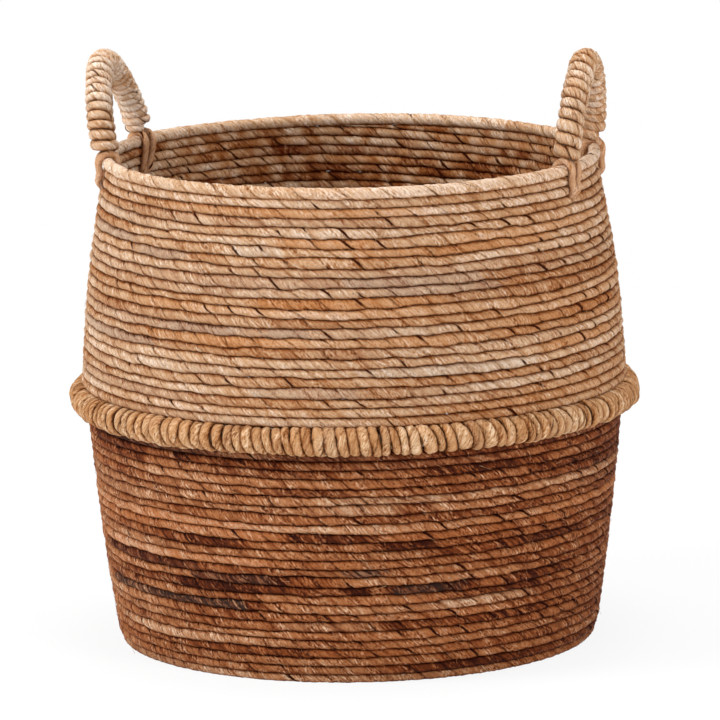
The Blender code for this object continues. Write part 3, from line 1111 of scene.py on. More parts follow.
        # Painted light: greyer towards the key lamp's side
        warmth = warmth - self.greyed_side * np.cos(angle - self.faded_angle)
        tone = tone[:, None] + self.mottle * patchy
        warmth = warmth[:, None] + 2 * self.mottle * frayed / self.frayed_degrees
        strength = np.clip(0.80 + 0.80 * patchy, 0.05, 1.3)
        degrees = np.degrees(angle) % 360
        loop = np.rint(level).astype(int)
        for streak in self.streaks:
            middle = (streak.start + streak.end) / 2
            half = (streak.end - streak.start) / 2
            off = np.abs((degrees - middle + 180) % 360 - 180)[:, None] + frayed
            share = soft_step((half - off) / 1.4 + 0.5) * (loop == streak.loop)[:, None]
            tone = tone + streak.tone * share * strength
            warmth = warmth + streak.warmth * share
        return tone, warmth

    @staticmethod
    def across_strip(
        rng: np.random.Generator, along: np.ndarray, wavelength: float, columns: int
    ) -> np.ndarray:
        """Return values that wander along each column of a strip, the same in its first and last column."""
        values = [drift(rng, along, wavelength) for _ in range(columns)]
        return np.array(values + values[:1]).T

    def build(self) -> None:
        """Wind the wall from two lengths of rope."""
        maker = RopeMaker(self.seed)
        self.table = self.waves(maker.rng)
        middle = self.loops // 2
        for number, (first, last) in enumerate(((0, middle - 1), (middle, self.loops - 1)), 1):
            path = self.path(self.turns(first, last), maker.rng)
            piece = maker.make(f"{self.name}_rope_{number}", path, self.stock, self.finish)
            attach(piece, "basket")
            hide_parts(f"{self.name}_coil_{number}")


@dataclass
class LowerWall(CoiledWall):
    """The wall from the floor up to the belly ring."""

    def profile(self) -> np.ndarray:
        """Return the lower wall's profile, drawn in at the foot.

        Returns:
            The (radius, height) of each place, from bottom to top.
        """
        bottom = LOWER_ROPE_DIAMETER / 2
        top_radius = RING_CENTRE_RADIUS - LOWER_WALL_INSET
        reach = (RING_DIAMETER + LOWER_ROPE_DIAMETER) / 2 - RING_PRESS
        top = RING_HEIGHT - math.sqrt(reach**2 - LOWER_WALL_INSET**2)
        share = np.linspace(0, 1, PROFILE_POINTS)
        height = bottom + (top - bottom) * share
        corner = np.maximum(0, 1 - (height - bottom) / CORNER_HEIGHT)
        radius = BASE_LOOP_RADIUS + (top_radius - BASE_LOOP_RADIUS) * share - CORNER_DROP * corner**2
        radius += self.fuller * np.sin(math.pi * share)
        return np.column_stack((radius, height))


@dataclass
class UpperWall(CoiledWall):
    """The wall from the belly ring up to the rim."""

    def profile(self) -> np.ndarray:
        """Return the upper wall's profile, bulging a little on its way in to the rim.

        Returns:
            The (radius, height) of each place, from bottom to top.
        """
        reach = (RING_DIAMETER + UPPER_ROPE_DIAMETER) / 2 - RING_PRESS
        bottom = RING_HEIGHT + math.sqrt(reach**2 - UPPER_WALL_INSET**2)
        top = RIM_CENTRE_HEIGHT - (RIM_ROPE_DIAMETER + UPPER_ROPE_DIAMETER) / 2
        bottom_radius = RING_CENTRE_RADIUS - UPPER_WALL_INSET
        share = np.linspace(0, 1, PROFILE_POINTS)
        bulge = (UPPER_WALL_BULGE + self.fuller) * np.sin(math.pi * share)
        radius = bottom_radius + (RIM_RADIUS - bottom_radius) * share + bulge
        return np.column_stack((radius, bottom + (top - bottom) * share))


# Floor, ring and rim


@dataclass
class BasketFloor:
    """The flat floor, a spiral of the wall's rope, whose last turn thins out against the wall."""

    seed: int = 31
    overlap: float = 0.0004
    edge_radius: float = BASE_LOOP_RADIUS - CORNER_DROP - LOWER_ROPE_DIAMETER / 2 + overlap
    rope_width: float = 0.0075
    rope_gap: float = 0.0001
    pressed: float = 1.14
    first_turn: float = 0.12
    end_share: float = 0.14
    end_height: float = 0.35
    stock: RopeStock = RopeStock(columns=12)
    step: float = 0.0034

    def build(self) -> None:
        """Wind the floor from its middle outwards."""
        maker = RopeMaker(self.seed)
        turns = (self.edge_radius - self.rope_width / 2) / self.rope_width
        dense = np.linspace(self.first_turn, turns + 1 - self.end_share, 60000)
        left = np.minimum(1, turns + 1 - dense)
        thinning = self.edge_radius - self.rope_width * left / 2
        radius = np.where(dense < turns, dense * self.rope_width, thinning)
        angle = dense * math.tau
        length = lengths_along(round_places(radius, angle, 0.0))
        stops = np.linspace(0, length[-1], int(length[-1] / self.step))
        radius, angle, left = (np.interp(stops, length, values) for values in (radius, angle, left))
        path = RopePath(
            centre=round_places(radius, angle, FLOOR_THICKNESS / 2),
            outward=np.tile(UP, (len(radius), 1)),
            half_out=(FLOOR_THICKNESS / 2 - self.rope_gap) * (self.end_height + (1 - self.end_height) * left),
            half_across=self.rope_width / 2 * self.pressed * left,
            tone=0.42 + drifts(maker.rng, stops, (0.12, 0.2), (0.08, 0.06)),
            warmth=0.1 + 0.3 * drift(maker.rng, stops, 0.15),
        )
        piece = maker.make("floor_spiral_rope", path, self.stock, LOWER_LEAF)
        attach(piece, "basket")
        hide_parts("floor_mat")


@dataclass
class BellyRing:
    """The ring round the belly: a bundle of rope with flat leaf rope wound tightly round it."""

    core_seed: int = 41
    wrap_seed: int = 43
    sections: int = 6
    turns_in_section: int = 27
    wrap_depth: float = 0.0068
    core_diameter: float = 0.0130
    core_places: int = 420
    places_in_turn: int = 28
    width_spread: float = 0.18
    gap_chance: float = 0.22
    gap_sizes: tuple[float, float] = (0.08, 0.30)
    tilt: float = 0.0003
    tilt_spread: float = 0.0008
    proud_spread: float = 0.00055
    overlap: float = 1.01
    tone: float = 0.62
    tone_spread: float = 0.055
    warmth_spread: float = 0.22
    stock: RopeStock = RopeStock(
        lay_length=0.045, lay_wander=1.6, edge_height=0.0005, crease_height=0.00055, crease_length=0.006,
        lump_share=0.09, lump_length=0.014, slit_reach=0.30,
    )  # fmt: skip

    def build_core(self) -> None:
        """Bend the bundle inside the ring."""
        maker = RopeMaker(self.core_seed)
        angle = np.linspace(CLIMB_START, CLIMB_START + math.tau - CORE_END_GAP, self.core_places)
        flat = np.ones_like(angle)
        path = RopePath(
            centre=round_places(RING_CENTRE_RADIUS, angle, RING_HEIGHT),
            outward=round_places(1.0, angle, 0.0),
            half_out=flat * self.core_diameter / 2,
            half_across=flat * self.core_diameter / 2,
            tone=flat * 0.3,
            warmth=flat * 0,
        )
        core = maker.make("belly_ring_bundle", path, RopeStock(lay_length=0.09, edge_height=0.001), CORE_LEAF)
        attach(core, "basket")
        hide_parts("belly_ring_core")

    def build_section(self, number: int, maker: RopeMaker) -> None:
        """Wind the rope round one stretch of the ring.

        Args:
            number: Which stretch, counted from 0 at +X.
            maker: The rope maker.
        """
        rng = maker.rng
        count = self.turns_in_section
        share = math.tau / self.sections
        widths = np.exp(rng.normal(0, self.width_spread, count))
        gaps = np.where(rng.random(count) < self.gap_chance, rng.uniform(*self.gap_sizes, count), 0.0)
        spans = (widths + gaps) / (widths + gaps).sum() * share
        edges = np.concatenate(([0], np.cumsum(spans)))
        widths = spans * widths / (widths + gaps) * RING_OUTER_RADIUS
        middles = (edges[:-1] + edges[1:]) / 2
        turn = np.linspace(-0.45, count - 0.55, count * self.places_in_turn)
        with_ends = np.concatenate(([-spans[0] / 2], middles, [share + spans[-1] / 2]))
        along_ring = number * share + np.interp(turn, np.arange(-1, count + 1), with_ends)
        psi = -math.tau * turn
        every = np.arange(count)
        tilts = np.interp(turn, every, self.tilt + self.tilt_spread * rng.normal(size=count))
        along_ring -= tilts / RING_OUTER_RADIUS * np.sin(psi)
        depth = self.wrap_depth * (1 + 0.12 * drift(rng, turn, 1.3))
        proud = np.interp(turn, every, self.proud_spread * rng.normal(size=count))
        winding = RING_DIAMETER / 2 - depth / 2 - 0.0003 + proud + 0.0004 * drift(rng, turn, 0.8)
        out = round_places(1.0, along_ring, 0.0)
        outward = out * np.cos(psi)[:, None] + UP * np.sin(psi)[:, None]
        centre = out * RING_CENTRE_RADIUS + UP * RING_HEIGHT + outward * winding[:, None]
        nearest = np.clip(np.rint(turn), 0, count - 1).astype(int)
        blend = turn - nearest
        width = np.interp(turn, every, widths)
        tones = self.tone + self.tone_spread * rng.normal(size=count)
        warmths = self.warmth_spread * rng.normal(size=count)
        path = RopePath(
            centre=centre,
            outward=outward,
            half_out=depth / 2,
            half_across=width / 2 * self.overlap * (1 - 0.20 * np.abs(blend) ** 3),
            tone=np.interp(turn, every, tones),
            warmth=np.interp(turn, every, warmths),
        )
        piece = maker.make(f"belly_ring_winding_{number + 1}", path, self.stock, WRAP_LEAF)
        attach(piece, "basket")
        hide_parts(f"belly_wrap_{number + 1}")

    def build(self) -> None:
        """Build the core and the winding."""
        self.build_core()
        maker = RopeMaker(self.wrap_seed)
        for number in range(self.sections):
            self.build_section(number, maker)


@dataclass
class Rim:
    """The thick rope that finishes the open top."""

    seed: int = 53
    # Nothing lies on the rim, so its top gets no painted groove shade
    stock: RopeStock = RopeStock(
        lay_length=0.036, columns=16, slit_reach=0.8, joint_over=0.0,
        crease_height=0.0005, crease_length=0.011, lump_share=0.09, lump_length=0.030,
    )  # fmt: skip
    step: float = 0.0026

    def build(self) -> None:
        """Lay the rim rope round the top."""
        maker = RopeMaker(self.seed)
        places = int(math.tau * RIM_RADIUS / self.step)
        angle = np.linspace(CLIMB_START, CLIMB_START + math.tau - RIM_END_GAP, places)
        along = (angle - angle[0]) * RIM_RADIUS
        sway = 0.0005 * np.sin(2 * angle + 1) + 0.0004 * np.sin(5 * angle)
        half = RIM_ROPE_DIAMETER / 2 * (1 + 0.03 * drift(maker.rng, along, 0.06))
        back = soft_step((np.sin(angle) + 0.2) / 0.6)
        path = RopePath(
            centre=round_places(RIM_RADIUS + sway, angle, RIM_CENTRE_HEIGHT + 0.4 * sway),
            outward=round_places(1.0, angle, 0.0),
            half_out=half,
            half_across=half,
            tone=0.72 - 0.06 * back + 0.10 * drift(maker.rng, along, 0.12),
            warmth=0.15 - 0.25 * back + 0.25 * drift(maker.rng, along, 0.10),
        )
        piece = maker.make("rim_edge_rope", path, self.stock, UPPER_LEAF)
        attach(piece, "basket")
        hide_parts("rim_rope")


# Handles


class Side(Enum):
    """Which side of the basket a handle is on, and what sets its handle apart."""

    RIGHT = (1, RIGHT_HANDLE_LEAN, 0.68, 0.0, 22)
    LEFT = (-1, LEFT_HANDLE_LEAN, 0.75, 0.0046, 25)

    def __init__(self, sign: int, lean: float, tone: float, lowered: float, turns: int) -> None:
        """Read one side's row.

        Args:
            sign: Which way along X the side lies.
            lean: How far the handle leans outwards at rest, in radians.
            tone: How pale the handle's rope is.
            lowered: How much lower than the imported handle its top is.
            turns: How many turns of rope wrap the handle.
        """
        self.sign = sign
        self.lean = lean
        self.tone = tone
        self.lowered = lowered
        self.turns = turns

    @property
    def word(self) -> str:
        """Return the side's name in piece and body names."""
        return self.name.lower()


@dataclass
class Handle:
    """A bent rod with rope wound round it, which leans about the rim between its two feet."""

    side: Side
    core_seed: int = 61
    winding_seed: int = 71
    foot_reach: float = -0.0004
    core_setback: float = 0.03
    rope_depth: float = 0.0070
    core_radius: float = 0.0056
    places_in_turn: int = 36
    width_spread: float = 0.07
    first_angle: float = 0.6
    overlap: float = 1.06
    stock: RopeStock = RopeStock(
        lay_length=0.017, edge_height=0.0010, crease_height=0.00034, lump_share=0.07, slit_reach=0.8
    )

    def arch(self, shares: np.ndarray) -> tuple[np.ndarray, np.ndarray, np.ndarray, float]:
        """Return places along the handle's middle line.

        Args:
            shares: How far along the arch each place lies, from foot to foot.

        Returns:
            The places, the direction towards the arch's inside, the direction across the arch, and
            the arch's length.
        """
        hinge_x = HINGE_RADIUS * math.cos(FOOT_ANGLE)
        half_width = HINGE_RADIUS * math.sin(FOOT_ANGLE)
        rise = HANDLE_RISE + RIM_ROPE_DIAMETER / 2 - FOOT_HEIGHT - HANDLE_DIAMETER / 2 - self.side.lowered
        angle = np.linspace(0, math.pi, 800)
        u = half_width * np.cos(angle) * (1 - HANDLE_NARROWING_SHARE * np.sin(angle) ** 2)
        v = rise * np.sin(angle)
        along = lengths_along(np.column_stack((u, v)))
        stops = shares * along[-1]
        below = np.minimum(stops, 0) + np.minimum(along[-1] - stops, 0)
        u, v = np.interp(stops, along, u), np.interp(stops, along, v) + below
        slope = unit(np.column_stack((np.gradient(u), np.gradient(v))))
        up = np.array((self.side.sign * math.sin(self.side.lean), 0.0, math.cos(self.side.lean)))
        along_rim = np.array((0.0, 1.0, 0.0))
        origin = np.array((self.side.sign * hinge_x, 0.0, RIM_CENTRE_HEIGHT))
        point = origin + u[:, None] * along_rim + (FOOT_HEIGHT + v)[:, None] * up
        inward = -slope[:, 1:] * along_rim + slope[:, :1] * up
        across = np.tile((up[2], 0.0, -up[0]), (len(u), 1))
        return point, inward, across, float(along[-1])

    def build_core(self) -> None:
        """Bend the strands inside the handle."""
        maker = RopeMaker(self.core_seed + self.side.sign)
        shares = np.linspace(self.core_setback, 1 - self.core_setback, 120)
        point, inward, _, _ = self.arch(shares)
        flat = np.ones(len(shares))
        half = flat * self.core_radius
        path = RopePath(point, inward, half, half, tone=0.35 * flat, warmth=0 * flat)
        core = maker.make(f"{self.side.word}_handle_strands", path, RopeStock(lay_length=0.05), CORE_LEAF)
        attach(core, f"{self.side.word}_handle")
        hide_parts(f"{self.side.word}_handle_core")

    def build_winding(self) -> None:
        """Wind the rope round the handle from foot to foot."""
        maker = RopeMaker(self.winding_seed + self.side.sign)
        rng = maker.rng
        turns = self.side.turns
        turn = np.linspace(0, turns, turns * self.places_in_turn)
        _, _, _, length = self.arch(np.linspace(0, 1, 2))
        sizes = np.exp(rng.normal(0, self.width_spread, turns + 2))
        edges = np.concatenate(([0], np.cumsum(sizes)))
        shares = np.interp(turn + 1, np.arange(len(edges)), edges) / edges[-1]
        margin = -self.foot_reach / length
        shares = margin + (1 - 2 * margin) * (shares - shares[0]) / (shares[-1] - shares[0])
        point, inward, across, _ = self.arch(shares)
        psi = self.first_angle - math.tau * turn
        depth = self.rope_depth * (1 + 0.06 * drift(rng, turn, 1.1))
        winding = HANDLE_DIAMETER / 2 - depth / 2 + 0.0004 * drift(rng, turn, 0.7)
        outward = inward * np.cos(psi)[:, None] + across * np.sin(psi)[:, None]
        width = np.gradient(shares, turn) * length
        path = RopePath(
            centre=point + outward * winding[:, None],
            outward=outward,
            half_out=depth / 2,
            half_across=width / 2 * self.overlap,
            tone=self.side.tone + drifts(rng, turn, (0.08, 2.0), (0.08, 0.6)),
            warmth=0.05 + 0.4 * drift(rng, turn, 1.7),
        )
        piece = maker.make(f"{self.side.word}_handle_winding", path, self.stock, HANDLE_LEAF)
        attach(piece, f"{self.side.word}_handle")
        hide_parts(f"{self.side.word}_handle_wrap")

    def build(self) -> None:
        """Build the handle's core and its winding."""
        self.build_core()
        self.build_winding()


@dataclass
class FootLashings:
    """The strands that hold the handles' feet, each over the rim and into the wall on both sides."""

    wall: UpperWall
    seed: int = 83
    loops_outside: int = 2
    loops_inside: int = 3
    diameter: float = LASHING_DIAMETER
    apart: float = 0.0037
    gap: float = 0.0003
    tuck: tuple[float, float] = (0.0046, 0.0004)
    pressed: float = 0.94
    tone: float = 0.72
    # The strands get a lighter painted groove shade along both sides
    stock: RopeStock = RopeStock(
        lay_length=0.032, lay_wander=0.8, crease_height=0.0003, columns=14, joint_over=0.35, joint_under=0.35
    )

    def route(self, angle: float, offset: float) -> tuple[np.ndarray, np.ndarray]:
        """Return a strand's route and the direction away from what it lies on.

        Args:
            angle: The foot's direction from the basket's middle.
            offset: How far the strand lies to the side of the foot's middle.

        Returns:
            The places and the outward directions.
        """
        levels = self.wall.levels()[::-1]
        reach = (UPPER_ROPE_DIAMETER + self.diameter) / 2 + self.gap
        crown = (RIM_ROPE_DIAMETER + self.diameter) / 2 + self.gap
        tuck_in, tuck_down = self.tuck
        held = levels[: self.loops_outside]
        below = (levels[self.loops_outside - 1] + levels[self.loops_outside]) / 2
        outer = [(below[0] + reach - tuck_in, below[1] - tuck_down)]
        outer += [(radius + reach, height) for radius, height in held[::-1]]
        turn = np.linspace(0, math.pi, 9)
        over = np.column_stack((RIM_RADIUS + crown * np.cos(turn), RIM_CENTRE_HEIGHT + crown * np.sin(turn)))
        held = levels[: self.loops_inside]
        below = (levels[self.loops_inside - 1] + levels[self.loops_inside]) / 2
        inner = [(radius - reach, height) for radius, height in held]
        inner += [(below[0] - reach + tuck_in, below[1] - tuck_down)]
        knots = np.array(outer + [tuple(place) for place in over] + inner)
        chord = lengths_along(knots)
        stops = np.linspace(0, chord[-1], 90)
        profile = resampled(stops, chord, knots)
        for _ in range(3):
            profile[1:-1] = profile[1:-1] * 0.5 + (profile[:-2] + profile[2:]) * 0.25
        share = stops / chord[-1]
        bow = offset * (1.5 - 0.85 * np.abs(2 * share - 1) ** 4)
        out = np.array((math.cos(angle), math.sin(angle), 0.0))
        side = np.array((-math.sin(angle), math.cos(angle), 0.0))
        centre = profile[:, :1] * out + bow[:, None] * side + profile[:, 1:] * UP
        slope = unit(np.gradient(profile, axis=0))
        outward = slope[:, 1:] * out - slope[:, :1] * UP
        return centre, outward

    def build(self) -> None:
        """Tie down the four feet."""
        feet = {
            "right_front": -FOOT_ANGLE,
            "right_back": FOOT_ANGLE,
            "left_front": math.pi + FOOT_ANGLE,
            "left_back": math.pi - FOOT_ANGLE,
        }
        maker = RopeMaker(self.seed)
        for foot, angle in feet.items():
            for number, way in enumerate((-1, 1), 1):
                centre, outward = self.route(angle, way * self.apart)
                along = lengths_along(centre)
                half = self.diameter / 2 * self.pressed * (1 + 0.05 * drift(maker.rng, along, 0.02))
                tone = self.tone + 0.08 * drift(maker.rng, along, 0.03)
                path = RopePath(centre, outward, half, half, tone, np.ones_like(tone))
                piece = maker.make(f"{foot}_strand_{number}", path, self.stock, UPPER_LEAF)
                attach(piece, "basket")
                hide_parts(f"{foot}_lashing_{number}")


# Thread and loose fibres


def thin_strands(
    name: str, strands: list[np.ndarray], radius: float, colours: tuple[Colour, Colour]
) -> bpy.types.Object:
    """Lay many fine round strands and join them as one mesh.

    Args:
        name: The piece's name.
        strands: The places along the middle of each strand.
        radius: Half the thickness of a strand.
        colours: The two colours that the strands vary between.

    Returns:
        The finished piece.
    """
    curve = bpy.data.curves.new(name, "CURVE")
    curve.dimensions = "3D"
    curve.bevel_depth = radius
    curve.bevel_resolution = 0
    curve.use_fill_caps = True
    for strand in strands:
        spline = curve.splines.new("POLY")
        spline.points.add(len(strand) - 1)
        spline.points.foreach_set("co", np.column_stack((strand, np.ones(len(strand)))).ravel())
    piece = bpy.data.objects.new(name, curve)
    bpy.context.scene.collection.objects.link(piece)
    deselect_all()
    piece.select_set(True)
    bpy.context.view_layer.objects.active = piece
    bpy.ops.object.convert(target="MESH")
    piece = bpy.context.view_layer.objects.active
    material, bench, shader = new_material(name)
    spread = bench.noise(bench.add("ShaderNodeTexCoord").outputs["Object"], 90.0, 2.0, 0.6)
    bench.feed(shader.inputs["Base Color"], bench.mix(bench.between(spread, 0.35, 0.65), *colours))
    shader.inputs["Roughness"].default_value = 0.45
    shader.inputs["Specular IOR Level"].default_value = 0.3
    piece.data.materials.append(material)
    LOG.info("%s: %d strands", name, len(strands))
    return piece


@dataclass
class SewingThread:
    """The fine clear thread that sews each loop of a wall to the next, in upright columns."""

    wall: CoiledWall
    seed: int
    columns: int = 20
    first_angle: float = math.radians(-108.8)
    thickness: float = 0.00030
    spread: float = 0.016
    lean_spread: float = 0.18
    rises: tuple[float, ...] = (-0.62, -0.36, 0.0, 0.36, 0.62)
    reaches: tuple[float, ...] = (0.82, 0.99, 1.03, 0.99, 0.82)

    def build(self) -> None:
        """Sew the wall, with a short stitch over each joint on both of its sides."""
        rng = np.random.default_rng(self.seed)
        levels = self.wall.levels()
        half = self.wall.rope_diameter / 2
        rise = np.array(self.rises) * half
        proud = np.array(self.reaches) * half
        stitches = []
        for column in range(self.columns):
            for joint in range(1, self.wall.loops):
                for side in (1, -1):
                    angle = self.first_angle + column * math.tau / self.columns + self.spread * rng.normal()
                    place = (angle % math.tau) / math.tau * (self.wall.table.shape[1] - 1)
                    wave = np.interp(place, np.arange(self.wall.table.shape[1]), self.wall.table[joint])
                    radius, height = (levels[joint - 1] + levels[joint]) / 2
                    lean = self.lean_spread * rng.normal()
                    turned = angle + lean * rise / radius
                    reach = radius + side * proud
                    stitches.append(round_places(reach, turned, height + wave + rise))
        clear = (self.wall.finish.middle, self.wall.finish.low)
        piece = thin_strands(f"{self.wall.name}_sewing", stitches, self.thickness / 2, clear)
        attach(piece, "basket")


@dataclass
class LooseFibres:
    """Fine fibres that stand off the ropes of a wall."""

    wall: CoiledWall
    seed: int
    count: int = 90
    thickness: float = 0.00026
    lengths: tuple[float, float] = (0.004, 0.013)
    lifts: tuple[float, float] = (0.0006, 0.0022)
    curls: tuple[float, float] = (1.6, 2.6)
    droop: float = -0.35
    droop_spread: float = 0.35

    def build(self) -> None:
        """Let fibres stand off the wall's outer side."""
        rng = np.random.default_rng(self.seed)
        levels = self.wall.levels()
        half = self.wall.rope_diameter / 2
        fibres = []
        for _ in range(self.count):
            loop = int(rng.integers(1, self.wall.loops - 1))
            radius, height = levels[loop]
            length = rng.uniform(*self.lengths)
            lift = rng.uniform(*self.lifts)
            slope = rng.normal(self.droop, self.droop_spread)
            share = np.linspace(0, 1, 7)
            angle = rng.uniform(0, math.tau) + share * length / radius
            reach = radius + half * 0.94 + lift * np.sin(share * rng.uniform(*self.curls))
            rise = height + rng.uniform(-0.6, 0.6) * half + slope * length * share
            rise = rise + rng.normal(0, 0.0008) * share**2
            fibres.append(round_places(reach, angle, rise))
        dry = (leaf_colour(214, 178, 134), leaf_colour(150, 96, 56))
        piece = thin_strands(f"{self.wall.name}_fibres", fibres, self.thickness / 2, dry)
        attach(piece, "basket")


# Studio


@dataclass(frozen=True)
class Lamp:
    """One soft lamp."""

    name: str
    place: tuple[float, float, float]
    size: float
    power: float


@dataclass
class Studio:
    """The pale floor, the soft lamps and the camera."""

    camera_distance: float = 6.08
    camera_pitch: float = math.radians(10.46)
    camera_azimuth: float = math.radians(12)
    focal_pixels: float = 7152
    aim_height: float = 0.2352
    aim_aside: float = 0.0050
    roll: float = math.radians(0.95)
    image_width: int = 720
    floor_size: float = 40.0
    floor_glow: float = 0.87
    floor_shade: float = 0.93
    floor_fade: tuple[float, float] = (0.7, 2.2)
    world_strength: float = 0.32
    lamp_aim_height: float = 0.2
    lamps: tuple[Lamp, ...] = (
        Lamp("key_lamp", (-3.5, -1.9, 2.8), 2.0, 160.0),
        Lamp("fill_lamp", (3.5, -2.5, 2.3), 2.0, 98.0),
        Lamp("top_lamp", (0.0, 0.4, 4.2), 2.6, 92.0),
    )

    def build_camera(self) -> None:
        """Set the camera at the photograph's angle."""
        azimuth, pitch = self.camera_azimuth, self.camera_pitch
        back = Vector(
            (math.sin(azimuth) * math.cos(pitch), -math.cos(azimuth) * math.cos(pitch), math.sin(pitch))
        )
        right = Vector((math.cos(azimuth), math.sin(azimuth), 0))
        aim = Vector((0, 0, self.aim_height)) + right * self.aim_aside
        data = bpy.data.cameras.new("photo_camera")
        data.sensor_width = 36
        data.lens = self.focal_pixels / self.image_width * data.sensor_width
        data.clip_start, data.clip_end = 0.1, 100
        camera = bpy.data.objects.new("photo_camera", data)
        camera.location = aim + back * self.camera_distance
        facing = (-back).to_track_quat("-Z", "Y") @ Quaternion((0, 0, 1), -self.roll)
        camera.rotation_euler = facing.to_euler()
        bpy.context.scene.collection.objects.link(camera)
        bpy.context.scene.camera = camera

    def build_floor(self) -> None:
        """Lay the pale floor, which keeps the basket's soft shadow."""
        deselect_all()
        bpy.ops.mesh.primitive_plane_add(size=self.floor_size)
        floor = bpy.context.view_layer.objects.active
        floor.name = "studio_floor"
        material, bench, shader = new_material("studio_floor")
        shade = self.floor_shade
        shader.inputs["Base Color"].default_value = (shade, shade, shade, 1.0)
        shader.inputs["Roughness"].default_value = 0.9
        shader.inputs["Specular IOR Level"].default_value = 0.0
        glow = bench.add("ShaderNodeEmission")
        glow.inputs["Color"].default_value = (1.0, 1.0, 1.0, 1.0)
        glow.inputs["Strength"].default_value = 1.0
        rays = bench.add("ShaderNodeLightPath").outputs
        seen = bench.math("MAXIMUM", rays["Is Camera Ray"], rays["Is Glossy Ray"])
        seen = bench.math("MAXIMUM", seen, rays["Is Transmission Ray"])
        distance = bench.add("ShaderNodeVectorMath", operation="LENGTH")
        bench.feed(distance.inputs[0], bench.add("ShaderNodeTexCoord").outputs["Object"])
        far = bench.between(distance.outputs["Value"], *self.floor_fade)
        glowing = bench.times_plus(far, 1.0 - self.floor_glow, self.floor_glow)
        blend = bench.add("ShaderNodeMixShader")
        bench.feed(blend.inputs[0], bench.times(seen, glowing))
        bench.feed(blend.inputs[1], shader.outputs[0])
        bench.feed(blend.inputs[2], glow.outputs[0])
        output = material.node_tree.nodes["Material Output"]
        bench.feed(output.inputs["Surface"], blend.outputs[0])
        floor.data.materials.append(material)

    def build_world(self) -> None:
        """Fill the room with plain white light, and show it as white."""
        world = bpy.data.worlds.new("studio")
        bpy.context.scene.world = world
        world.use_nodes = True
        bench = ShaderBench(world.node_tree)
        sky = world.node_tree.nodes["Background"]
        sky.inputs["Color"].default_value = (1.0, 1.0, 1.0, 1.0)
        rays = bench.add("ShaderNodeLightPath").outputs
        seen = bench.math("MAXIMUM", rays["Is Camera Ray"], rays["Is Transmission Ray"])
        strength = bench.times_plus(seen, 1.0 - self.world_strength, self.world_strength)
        bench.feed(sky.inputs["Strength"], strength)

    def build_lamps(self) -> None:
        """Hang the soft lamps, aimed at the basket's middle."""
        for lamp in self.lamps:
            data = bpy.data.lights.new(lamp.name, "AREA")
            data.shape = "DISK"
            data.size = lamp.size
            data.energy = lamp.power
            light = bpy.data.objects.new(lamp.name, data)
            light.location = lamp.place
            aim = Vector((0, 0, self.lamp_aim_height)) - Vector(lamp.place)
            light.rotation_euler = aim.to_track_quat("-Z", "Y").to_euler()
            bpy.context.scene.collection.objects.link(light)

    def build(self) -> None:
        """Set up the whole studio."""
        bpy.context.scene.view_settings.view_transform = "Standard"
        self.build_camera()
        self.build_floor()
        self.build_world()
        self.build_lamps()


LOWER_TONES = (
    0.48, 0.40, 0.50, 0.44, 0.52, 0.48, 0.50, 0.46, 0.54, 0.50, 0.42, 0.52, 0.44,
    0.54, 0.44, 0.44, 0.46, 0.56, 0.46, 0.54, 0.56, 0.44, 0.48, 0.40, 0.38, 0.36,
)  # fmt: skip
LOWER_WARMTHS = (
    0.10, 0.40, 0.15, 0.50, 0.30, 0.45, 0.10, 0.45, 0.15, 0.50, 0.25, 0.10, 0.30,
    0.50, 0.20, 0.30, 0.65, 0.55, 0.25, 0.00, -0.20, 0.30, 0.45, 0.25, 0.10, -0.20,
)  # fmt: skip
UPPER_TONES = (
    0.58, 0.60, 0.56, 0.60, 0.55, 0.60, 0.62, 0.57, 0.60, 0.55, 0.60, 0.58,
    0.55, 0.57, 0.58, 0.60, 0.62, 0.58, 0.60, 0.60, 0.58, 0.63, 0.62,
)  # fmt: skip
UPPER_WARMTHS = (
    0.00, 0.10, -0.05, -0.15, 0.10, -0.05, 0.05, -0.10, 0.35, -0.25, 0.20, 0.30,
    0.10, -0.25, -0.35, -0.10, 0.05, 0.00, 0.20, -0.15, -0.10, 0.35, 0.10,
)  # fmt: skip
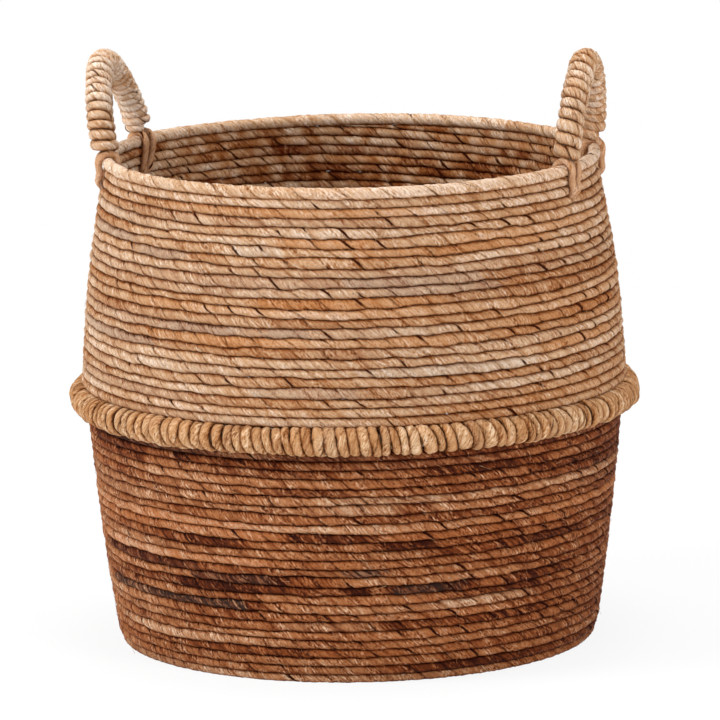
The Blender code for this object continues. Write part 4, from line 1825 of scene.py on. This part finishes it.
LOWER_STREAKS = tuple(Streak(*stretch) for stretch in (
    (25, 205, 250, -0.22, -0.4), (24, 200, 232, -0.20, 0.3), (23, 205, 232, -0.24, 0.2),
    (24, 238, 268, -0.30, 0.4), (21, 262, 281, -0.16, -0.5), (17, 225, 262, 0.10, 0.6),
    (15, 228, 240, -0.26, 0.2), (15, 241, 257, -0.36, -0.4), (16, 266, 272, -0.42, 0.0),
    (16, 273, 287, -0.36, -0.9), (12, 204, 244, -0.34, -0.9), (12, 250, 262, -0.14, 0.3),
    (11, 241, 266, -0.40, -1.1), (11, 264, 277, -0.24, 0.5), (10, 235, 255, -0.32, 0.2),
    (10, 255, 267, -0.16, 0.3), (10, 277, 284, -0.36, 0.2), (8, 207, 255, -0.50, -1.4),
    (8, 255, 261, -0.30, 0.0), (6, 238, 264, -0.14, 0.5), (3, 243, 270, -0.18, 0.2),
    (23, 296, 328, -0.32, 0.3), (22, 322, 372, -0.28, 0.2), (19, 291, 297, -0.38, 0.2),
    (15, 286, 299, -0.34, 0.2), (14, 301, 322, -0.28, 0.4), (14, 322, 340, -0.26, 0.7),
    (20, 276, 302, 0.14, -0.5), (19, 276, 300, 0.10, -0.3), (12, 280, 288, -0.46, -1.6),
    (10, 291, 307, -0.36, -1.2), (9, 305, 327, -0.26, 0.3), (6, 289, 318, -0.32, 0.6),
    (6, 318, 340, -0.28, 0.5), (4, 336, 372, -0.30, 0.3), (10, 319, 338, -0.28, 0.2),
    (1, 293, 325, -0.16, 0.2), (8, 300, 326, 0.12, -0.4), (13, 214, 262, 0.10, 0.4),
    (7, 14, 60, -0.36, 0.1), (13, 80, 118, -0.30, 0.2), (18, 28, 66, -0.24, 0.4),
    (4, 96, 150, -0.26, 0.1), (16, 130, 176, -0.34, 0.2), (10, 48, 92, 0.12, -0.4),
    (21, 92, 140, -0.28, 0.3), (2, 20, 52, -0.2, 0.3), (11, 150, 190, -0.3, 0.0),
    (23, 20, 74, 0.1, 0.5), (6, 120, 148, -0.42, -0.3), (19, 160, 196, -0.2, 0.4),
))  # fmt: skip
UPPER_STREAKS = tuple(Streak(*stretch) for stretch in (
    (17, 200, 226, -0.06, -1.2), (16, 226, 243, -0.06, -1.2), (17, 256, 267, 0.14, -0.8),
    (18, 265, 286, 0.0, 1.1), (21, 234, 300, 0.04, 0.6), (12, 261, 286, -0.02, 1.2),
    (11, 230, 300, 0.0, 0.5), (9, 238, 256, -0.08, -0.9), (9, 263, 273, -0.12, -0.9),
    (8, 234, 272, 0.02, 0.6), (3, 260, 284, -0.06, -0.9), (7, 193, 235, -0.04, -0.8),
    (17, 283, 300, 0.02, 0.8), (17, 300, 330, -0.04, 1.0), (18, 305, 352, 0.0, 0.7),
    (14, 280, 312, 0.02, -0.9), (13, 288, 316, -0.12, -0.9), (12, 286, 302, 0.0, 0.9),
    (8, 284, 304, 0.0, 0.6), (9, 304, 334, 0.0, 0.9), (9, 334, 356, -0.16, 1.2),
    (5, 284, 322, 0.05, -0.7), (6, 326, 352, -0.04, 0.7), (1, 298, 322, -0.02, 0.7),
    (15, 20, 62, -0.05, -0.9), (19, 88, 140, 0.02, 0.8), (6, 40, 98, 0.0, 0.8),
    (11, 104, 160, -0.06, -0.9), (4, 150, 188, 0.0, 0.7), (21, 20, 70, 0.0, 0.5),
    (20, 40, 128, -0.16, -0.3), (18, 60, 120, -0.26, -0.5), (17, 30, 150, -0.2, 0.0),
))  # fmt: skip


def main() -> None:
    """Build the studio and every part of the basket, and report the pieces."""
    logging.basicConfig(level=logging.INFO, format="%(message)s")
    Studio().build()
    # Both walls get painted light, paler and greyer towards the key lamp
    lower = LowerWall(
        "lower_wall", 26, LOWER_ROPE_DIAMETER, LOWER_LEAF, 7, LOWER_TONES, LOWER_WARMTHS, LOWER_STREAKS,
        faded=0.065, greyed_side=0.16,
    )  # fmt: skip
    upper = UpperWall(
        "upper_wall", 23, UPPER_ROPE_DIAMETER, UPPER_LEAF, 11, UPPER_TONES, UPPER_WARMTHS, UPPER_STREAKS,
        faded=0.02, greyed_side=0.20,
    )  # fmt: skip
    BasketFloor().build()
    lower.build()
    BellyRing().build()
    upper.build()
    Rim().build()
    FootLashings(upper).build()
    for side in Side:
        Handle(side).build()
    for seed, wall in enumerate((lower, upper), 91):
        SewingThread(wall, seed).build()
        LooseFibres(wall, seed).build()


if __name__ == "__main__":
    main()
